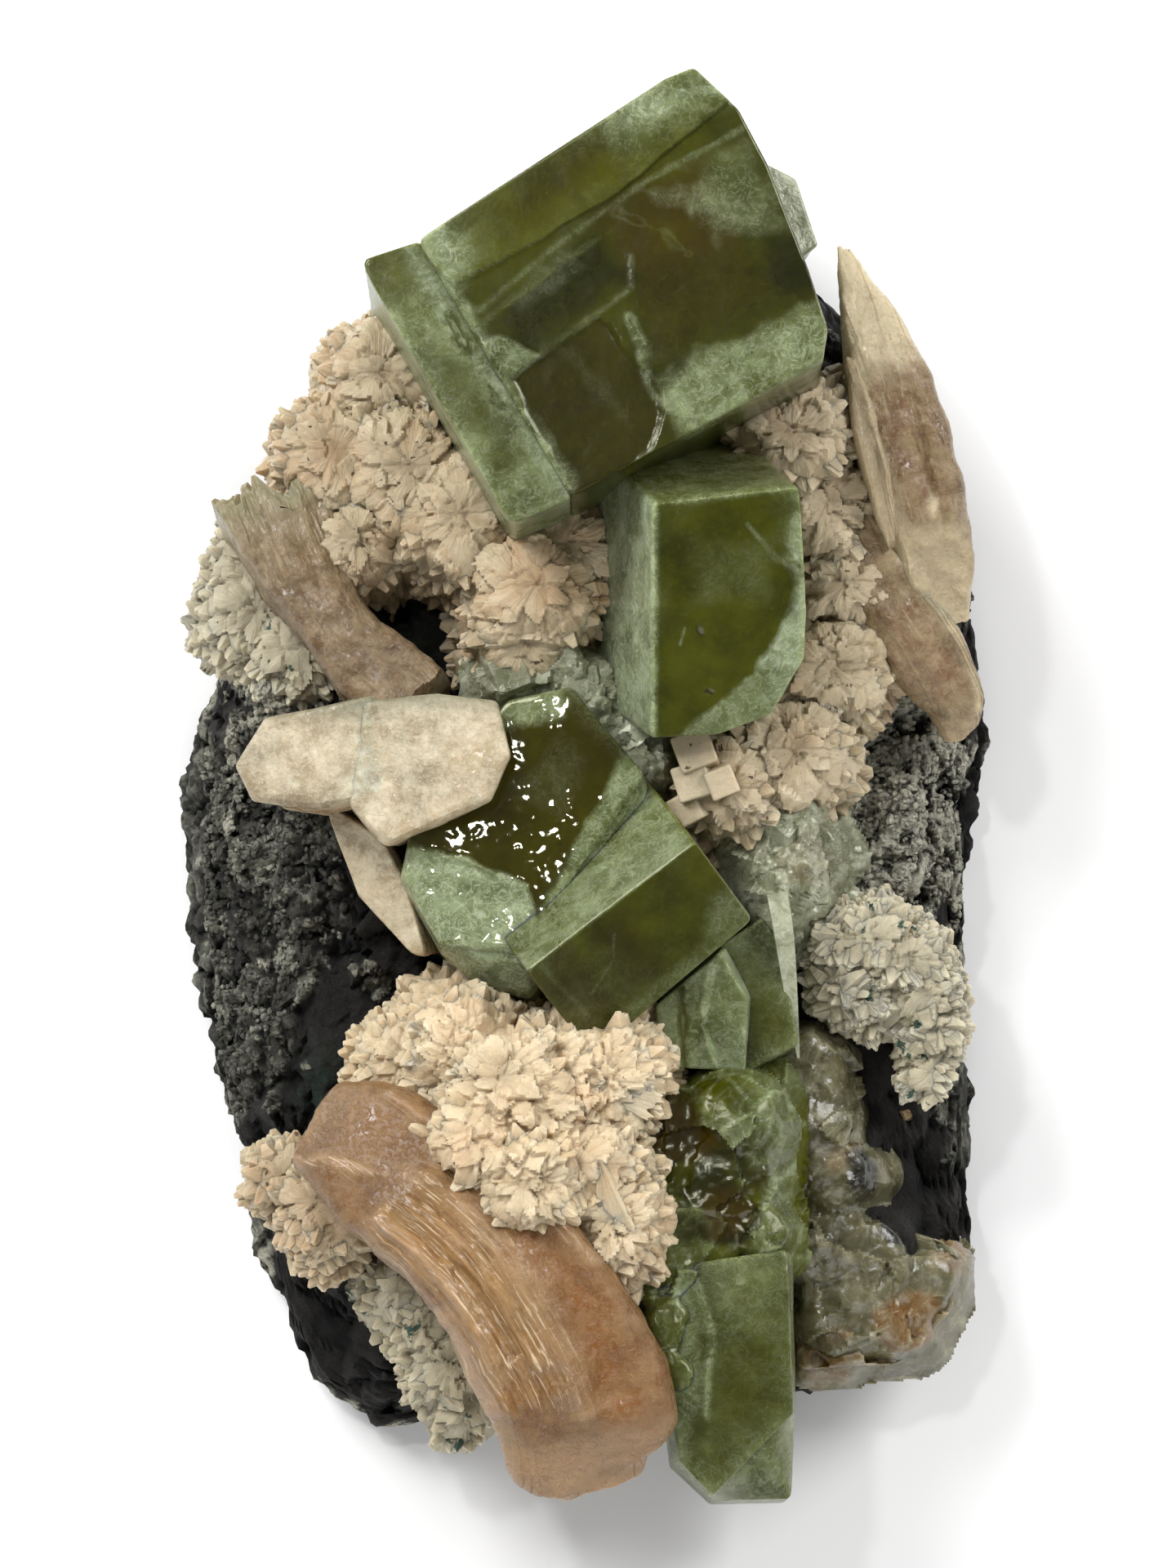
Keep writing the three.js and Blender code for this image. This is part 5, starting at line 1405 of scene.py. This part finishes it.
centrePetals = [
    # x, y, z, heading, rise, reach, spread: headings in degrees round from the right, rise in degrees upward
    (-1.5, -25.8, 32.6, 4, 3, 7.0, 50), (-0.8, -27.6, 33.0, -20, 3, 7.4, 36),
    (1.0, -34.0, 36.2, -82, -6, 9.0, 26),
]
tablets = [
    # x, y, z, size, lean along x and y, turn
    (9.4, 2.0, 30.6, 3.4, -0.1, 0.1, 0.35), (9.2, -0.8, 30.0, 3.2, -0.2, -0.1, 0.3),
    (11.9, -1.0, 30.6, 2.6, 0.1, -0.2, 0.4), (8.6, -3.2, 28.4, 2.8, -0.4, -0.3, 0.5),
]


def tabletParts():
    # flat square crystals, lapped like roof tiles
    parts = []
    for index, (x, y, z, size, leanX, leanY, turn) in enumerate(tablets):
        square = [(a * size, b * size) for a, b in unitSquare]
        part = broken({"centre": (x, y, z), "facing": (leanX, leanY, 1), "along": (cos(turn), sin(turn), 0),
                       "levels": [(0, square), (3.4, square)], "edge": 0.2, "wear": 1, "seed": 120 + index,
                       "turns": 90, "ripple": 0.1, "faceRows": 16, "sideRows": 6})
        even = np.ones(len(part["points"]))
        part["values"] = {"tip": 0.9 * even, "tone": 1.0 * even, "across": 0 * even, "along": 0 * even}
        parts.append(part)
    return parts


grownOn = {"rightCrust": tabletParts(), "centreCrust": petals(centrePetals, 208)}
for name, look in crusts.items():
    parts = crust(look) + grownOn.get(name, [])
    addPiece(name, parts, materials[look["material"]], [look["node"]])
print("heulandite made")


# Basalt matrix.

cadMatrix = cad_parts["matrix"]
cadCorners = np.empty(len(cadMatrix.data.vertices) * 3, np.float32)
cadMatrix.data.vertices.foreach_get("co", cadCorners)
cadCorners = np.unique(np.round(cadCorners.reshape(-1, 3) / mm - layoutShift, 3), axis=0)

rock = {"turns": 590, "innerRows": 16, "faceRows": 98, "sideRows": 26, "baseRows": 4, "rimHeight": 7.0,
        "blend": 1.4}


def rockTop(x, y):
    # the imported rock's own corners, weighted by the sixth power of nearness; blend is the distance in mm
    # within which the nearest corner no longer gains weight, so the face runs close by each corner without
    # a spike
    corners = cadCorners[cadCorners[:, 2] > rock["rimHeight"] - 0.05]
    near = (x[..., None] - corners[:, 0]) ** 2 + (y[..., None] - corners[:, 1]) ** 2 + rock["blend"] ** 2
    weight = near**-3
    return (weight * corners[:, 2]).sum(-1) / weight.sum(-1)


def rimReach(low, high, angles):
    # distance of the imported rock's rim from its middle, round a band of heights
    ring = cadCorners[(cadCorners[:, 2] > low) & (cadCorners[:, 2] < high)]
    ring = ring[np.hypot(ring[:, 0], ring[:, 1]) > 20]
    heading = np.arctan2(ring[:, 1], ring[:, 0]) % (2 * pi)
    order = np.argsort(heading)
    return np.interp(angles, heading[order], np.hypot(ring[:, 0], ring[:, 1])[order], period=2 * pi)


rockSpots = {
    # x, y, radius and strength of the pale rind, the whitish coat and the green celadonite
    "weathered": [
        (-30, -8, 11, 1.15), (-31, -19, 7, 1.1), (-32, 2, 8, 0.9), (-33, -25, 7, 1), (-31, -40, 6, 0.8),
        (28, 2, 8, 0.6), (-22, -10, 5, 0.5), (-28, 5, 6, 0.9), (-8, -60, 7, 0.8), (5, -64, 7, 0.9),
        (22, -58, 6, 0.8), (36, -30, 7, 0.7), (36, 24, 8, 0.9), (30, 46, 7, 0.8), (14, 60, 8, 0.9),
        (-6, 62, 8, 0.8), (-24, 54, 6, 0.9), (-34, 36, 8, 0.8),
    ],
    "coated": [
        (26, -3, 8, 1.6), (29, -8, 6, 1.4), (24, 5, 8, 1.6), (22, -14, 5, 1.2), (31, 2, 6, 1.3),
        (-31, -40, 4, 1), (-30, 12, 7, 1.1), (22, -25, 4, 0.7), (-22, 38, 6, 0.9), (20, 9, 5, 1),
        (-28, 22, 5, 0.8),
    ],
    "celadon": [
        (-28, 14, 3, 0.9), (-17, 14, 2.5, 0.8), (-23, -27, 3, 0.8), (26, 7, 3, 0.7), (33, -20, 3, 0.5),
        (-26, 34, 3, 0.5),
    ],
}


def rockSkin(points):
    # relief in mm and colour shares: a pale granular rind covers the dark rock in ragged patches, thicker
    # than the rock between them, and cracks, pits and grains are cut into both; one share paints shade
    # into the pits, cracks, seams and low hollows
    x, y = points[..., 0], points[..., 1]
    lumps = cloud(points, 6.0, 5, 301, 0.62)
    rind = eased((patches(x, y, rockSpots["weathered"]) - 0.46 + 1.1 * cloud(points, 6.0, 5, 311, 0.6)) / 0.2)
    coat = eased((patches(x, y, rockSpots["coated"]) - 0.6 + 1.5 * cloud(points, 4.0, 6, 313, 0.66)) / 0.14)
    bent = points + 0.5 * cloud(points, 1.6, 2, 317)[..., None]
    nearest, second, clod, _ = cells(bent, 2.5, 303)
    knobs = (0.7 - nearest) * (0.6 + 1.4 * rind * clod)
    seams = np.exp(-(((second - nearest) / 0.1) ** 2)) * (0.35 + 0.65 * rind)
    fine, _, _, _ = cells(bent, 0.9, 309)
    knobs = (knobs + 0.4 * (0.6 - fine)) * (1 - 0.6 * coat)
    nearest, second, blockTone, _ = cells(points + 2.4 * lumps[..., None], 4.2, 305)
    cracks = np.exp(-(((second - nearest) / 0.09) ** 2)) * eased(cloud(points, 7, 3, 315) * 3 + 0.8)
    nearest, _, size, _ = cells(points, 4.6, 307)
    pits = eased((0.2 + 0.16 * size - nearest) / 0.14) * (size > 0.45)
    relief = 1.6 * lumps + knobs + 0.5 * rind + 0.35 * coat + 1.2 * (blockTone - 0.5)
    relief = relief - 1.2 * cracks - 1.2 * pits - 0.3 * seams
    # painted shade: darkest in pits and cracks, in the seams between clods outside the coat, and where the
    # lumps sink low
    hollowShadeShare = 0.8 * pits + 0.8 * cracks + 0.7 * seams * (1 - coat) + 0.7 * eased(-lumps * 2.4 - 0.3)
    return relief, {
        "pale": np.clip(rind * (0.1 + 1.1 * clod) * (0.6 + 0.5 * blockTone), 0, 1), "coat": coat,
        "celadon": patches(x, y, rockSpots["celadon"]), "hollowShade": np.clip(hollowShadeShare, 0, 1),
    }


def rockSurface():
    # one sleeve: out over the cut base, up the steep side and in over the face; the skin's relief pushes each
    # point along a mix of outward and upward
    angles = np.linspace(0, 2 * pi, rock["turns"], endpoint=False)
    cut, waist, rim = rimReach(-1, 1, angles), rimReach(3, 4, angles), rimReach(6.9, 7.1, angles)
    baseShare = np.linspace(0.03, 1, rock["baseRows"])
    sideShare = np.linspace(0, 1, rock["sideRows"] + 1)[1:]
    outerShare = 1 - 0.6 * np.linspace(0, 1, rock["faceRows"])[1:] ** 1.3
    topShare = np.concatenate([outerShare, np.linspace(0.4, 0.01, rock["innerRows"])[1:]])
    upper = eased(sideShare * 2 - 1)[:, None]
    reach = np.concatenate([
        baseShare[:, None] * cut,
        (cut + (waist - cut) * np.minimum(sideShare * 2, 1)[:, None]) * (1 - upper) + upper * rim,
        topShare[:, None] * rim,
    ])
    x, y = reach * np.cos(angles), reach * np.sin(angles)
    count = len(baseShare) + len(sideShare)
    z = np.zeros_like(x)
    z[len(baseShare):count] = rock["rimHeight"] * sideShare[:, None]
    z[count:] = rockTop(x[count:], y[count:])
    points = np.stack([x, y, z], axis=-1)
    relief, values = rockSkin(points)
    onFace = np.zeros(len(points))
    onFace[len(baseShare):count] = eased(sideShare) * 0.999
    onFace[count:] = 1.0
    fade = np.ones(len(points))
    fade[:len(baseShare)] = 0.0
    fade[len(baseShare):count] = eased(sideShare * 3)
    inward = 0.75 * relief * fade[:, None] * (1 - 0.6 * onFace[:, None])
    points[..., 0] += inward * np.cos(angles)
    points[..., 1] += inward * np.sin(angles)
    points[..., 2] += relief * onFace[:, None]
    points[..., 2] = np.maximum(points[..., 2], 0.0)
    return sleeve(points, values)


def rockGrains(surface, count, seed):
    # small twenty-sided grains half sunk into the rind, thickest where it is palest
    random = np.random.default_rng(seed)
    golden = (1 + 5**0.5) / 2
    corners = unit([(a * p, b * q, 0) for a in (-1, 1) for b in (-1, 1) for p, q in [(1, golden)]])
    corners = np.vstack([np.roll(corners, turn, axis=1) for turn in range(3)])
    gaps = np.linalg.norm(corners[:, None] - corners, axis=-1)
    side = np.sort(gaps.ravel())[12] * 1.01
    faces = [(i, j, k) for i, j, k in itertools.combinations(range(12), 3)
             if gaps[i, j] < side and gaps[j, k] < side and gaps[i, k] < side]
    outer = [corners[i] @ np.cross(corners[j] - corners[i], corners[k] - corners[i]) > 0 for i, j, k in faces]
    faces = np.array([(i, j, k) if out else (i, k, j) for (i, j, k), out in zip(faces, outer)])
    wanted = (surface["values"]["pale"] + 0.3 * surface["values"]["coat"]) * (surface["points"][:, 2] > 8)
    chosen = random.choice(len(wanted), count, p=wanted / wanted.sum())
    size = random.uniform(0.16, 0.42, (count, 1, 3)) * random.uniform(0.7, 1.2, (count, 1, 1))
    shapes = corners * size + random.normal(0, 0.03, (count, 12, 3))
    points = surface["points"][chosen][:, None] + random.normal(0, 0.12, (count, 1, 3)) + shapes
    triangles = (faces + 12 * np.arange(count)[:, None, None]).reshape(-1, 3)
    values = {name: np.repeat(value[chosen], 12) for name, value in surface["values"].items()}
    # grains stand proud of the rind, so their painted shade share is set to nothing
    values["hollowShade"] = 0 * values["hollowShade"]
    return {"points": points.reshape(-1, 3), "quads": np.zeros((0, 4), int), "triangles": triangles,
            "values": values}


basaltFace = rockSurface()
addPiece("basaltMatrix", [basaltFace], materials["basalt"], ["matrix"], crease=60)
addPiece("basaltGrains", [rockGrains(basaltFace, 6400, 321)], materials["basalt"], ["matrix"])
print("basalt made")


# Glassy crust at the lower right.

crustFloor = [(18, -27), (22.8, -26), (25.4, -38.6), (33.6, -41.4), (33, -47), (28, -51.8), (18.8, -52.4),
              (18.6, -42)]
glassyLumps = [
    (20, -25.4, 20, 2.8), (20.6, -29.6, 20, 3.4), (21.6, -34.6, 19.4, 3.4), (20.8, -40.6, 18.6, 4.2),
    (25, -43, 17.6, 3.8), (29.4, -45, 15.8, 3.2), (22.6, -47.4, 17.4, 4), (27.4, -47.6, 15.8, 3.6),
    (31, -43.4, 15.4, 1.8),
]
glassyLook = {
    "shard": 5.6, "height": 0.8, "small": 0.25, "milk": 0.5,
    "warm": [(29, -48, 4, 1.0), (21, -50, 4, 0.7), (32, -43, 3, 0.8), (22, -34, 2.4, 0.5)],
    "deep": [(25, -35, 2.4, 0.7), (28, -40, 2.4, 0.8), (19, -36, 2.0, 0.5)],
}
crustBase = broken({
    "centre": (0, 0, 13.6), "levels": [(depth, crustFloor) for depth in (0, 8)], "edge": 0.8, "wear": 6,
    "turns": 240,
    "faceRows": 50, "sideRows": 18, "milk": 0.6, "ripple": 0.8, "seed": 99, "shatter": (4.0, 1.4),
    "features": [
        {"patch": [(17, -47), (35, -46), (35, -54), (17, -54)], "soft": 4.0, "warm": 0.8, "fade": 0,
         "ragged": 1.0},
        {"patch": [(26, -28), (36, -28), (36, -41), (28, -39)], "soft": 4.0, "deep": 0.9, "milk": 0.1,
         "fade": 0, "ragged": 1.5},
    ],
})
amberPlace = (28.9, -29.3)
amberGrain = broken({
    "centre": (*amberPlace, float(rockTop(*np.array(amberPlace)[:, None])[0]) + 1.2),
    "facing": (0.2, 0.1, 1), "seed": 131,
    "levels": [(0, [(-0.4, 0.3), (0.2, 0.5), (0.5, -0.1), (-0.1, -0.4)]),
               (2.4, [(-0.7, 0.5), (0.4, 0.7), (0.8, -0.3), (-0.3, -0.7)])],
    "edge": 0.12, "wear": 1, "turns": 60, "faceRows": 8, "sideRows": 6, "milk": 0.2, "warm": 1.0,
    "ripple": 0.05, "grooves": 0.05,
})
addPiece("lowRightGlassyCrust", [crustBase, brokenMass(glassyLumps, 105, glassyLook), amberGrain],
         materials["glassy"],
         ["crystal_crust_low_right"])


# Floor, light and camera.

def stageMaterial():
    # matt white card: a pale, even sweep that only shows the soft shadow
    material, add, place = startMaterial("mattWhiteCard")
    card = layered(add, "#f2f2f2", (mottled(add, place, 40, 2, 0.5, 0.3, 0.7), 1, "#f6f6f6"))
    return finished(material, add, {"Base Color": card, "Roughness": 0.9, "Specular IOR Level": 0.1})


floorMesh = bpy.data.meshes.new("floor")
floorHalf = 3.0  # m, half its side
floorMesh.from_pydata([(2 * a * floorHalf, 2 * b * floorHalf, 0) for a, b in unitSquare], [], [(0, 1, 2, 3)])
floorMesh.materials.append(stageMaterial())
floor = bpy.data.objects.new("floor", floorMesh)
bpy.context.scene.collection.objects.link(floor)

view = {"distance": 0.8, "tilt": 6.0, "focusHeight": 0.02, "pixelsPerMm": 13.6, "sensor": 36.0,
        "frameHeight": 1920}


def addCamera():
    # above the cluster, tipped a little towards its lower end; the lens gives 13.6 pixels to a millimetre
    focus = Vector((*(layoutShift[:2] * mm), view["focusHeight"]))
    tilt = radians(view["tilt"])
    back = Vector((0, -sin(tilt), cos(tilt)))
    top = Vector((0, cos(tilt), sin(tilt)))
    camera = bpy.data.objects.new("camera", bpy.data.cameras.new("camera"))
    camera.matrix_world = Matrix.Translation(focus + back * view["distance"]) @ Matrix((
        (1, top.x, back.x), (0, top.y, back.y), (0, top.z, back.z))).to_4x4()
    camera.data.sensor_width = view["sensor"]
    framed = view["frameHeight"] / view["pixelsPerMm"] * mm
    camera.data.lens = view["sensor"] * view["distance"] / framed
    camera.data.clip_start, camera.data.clip_end = 0.01, 20
    bpy.context.scene.collection.objects.link(camera)
    bpy.context.scene.camera = camera


def addLight(name, place, aim, size, power):
    # a white disc of that diameter in m and power in W, turned to its aim
    light = bpy.data.lights.new(name, "AREA")
    light.shape, light.size, light.energy = "DISK", size, power
    lamp = bpy.data.objects.new(name, light)
    lamp.location = place
    lamp.rotation_mode = "QUATERNION"
    lamp.rotation_quaternion = (Vector(aim) - Vector(place)).to_track_quat("-Z", "Y")
    bpy.context.scene.collection.objects.link(lamp)


def addWorld(strength):
    # an even white surround
    world = bpy.data.worlds.new("studio")
    world.use_nodes = True
    background = world.node_tree.nodes["Background"]
    background.inputs["Color"].default_value = (1, 1, 1, 1)
    background.inputs["Strength"].default_value = strength
    bpy.context.scene.world = world


addCamera()
middle = (0.0, 0.0, 0.02)
addLight("key", (-0.6, 0.62, 0.78), middle, 0.6, 13.5)
addLight("glint", (-0.16, 0.17, 0.62), middle, 0.045, 0.6)
addLight("fill", (0.72, 0.5, 0.66), middle, 0.5, 8.5)
addLight("low", (0.05, -0.95, 0.65), middle, 0.9, 5.0)
addWorld(0.28)
bpy.context.scene.view_settings.view_transform = "Standard"
print("stage set")
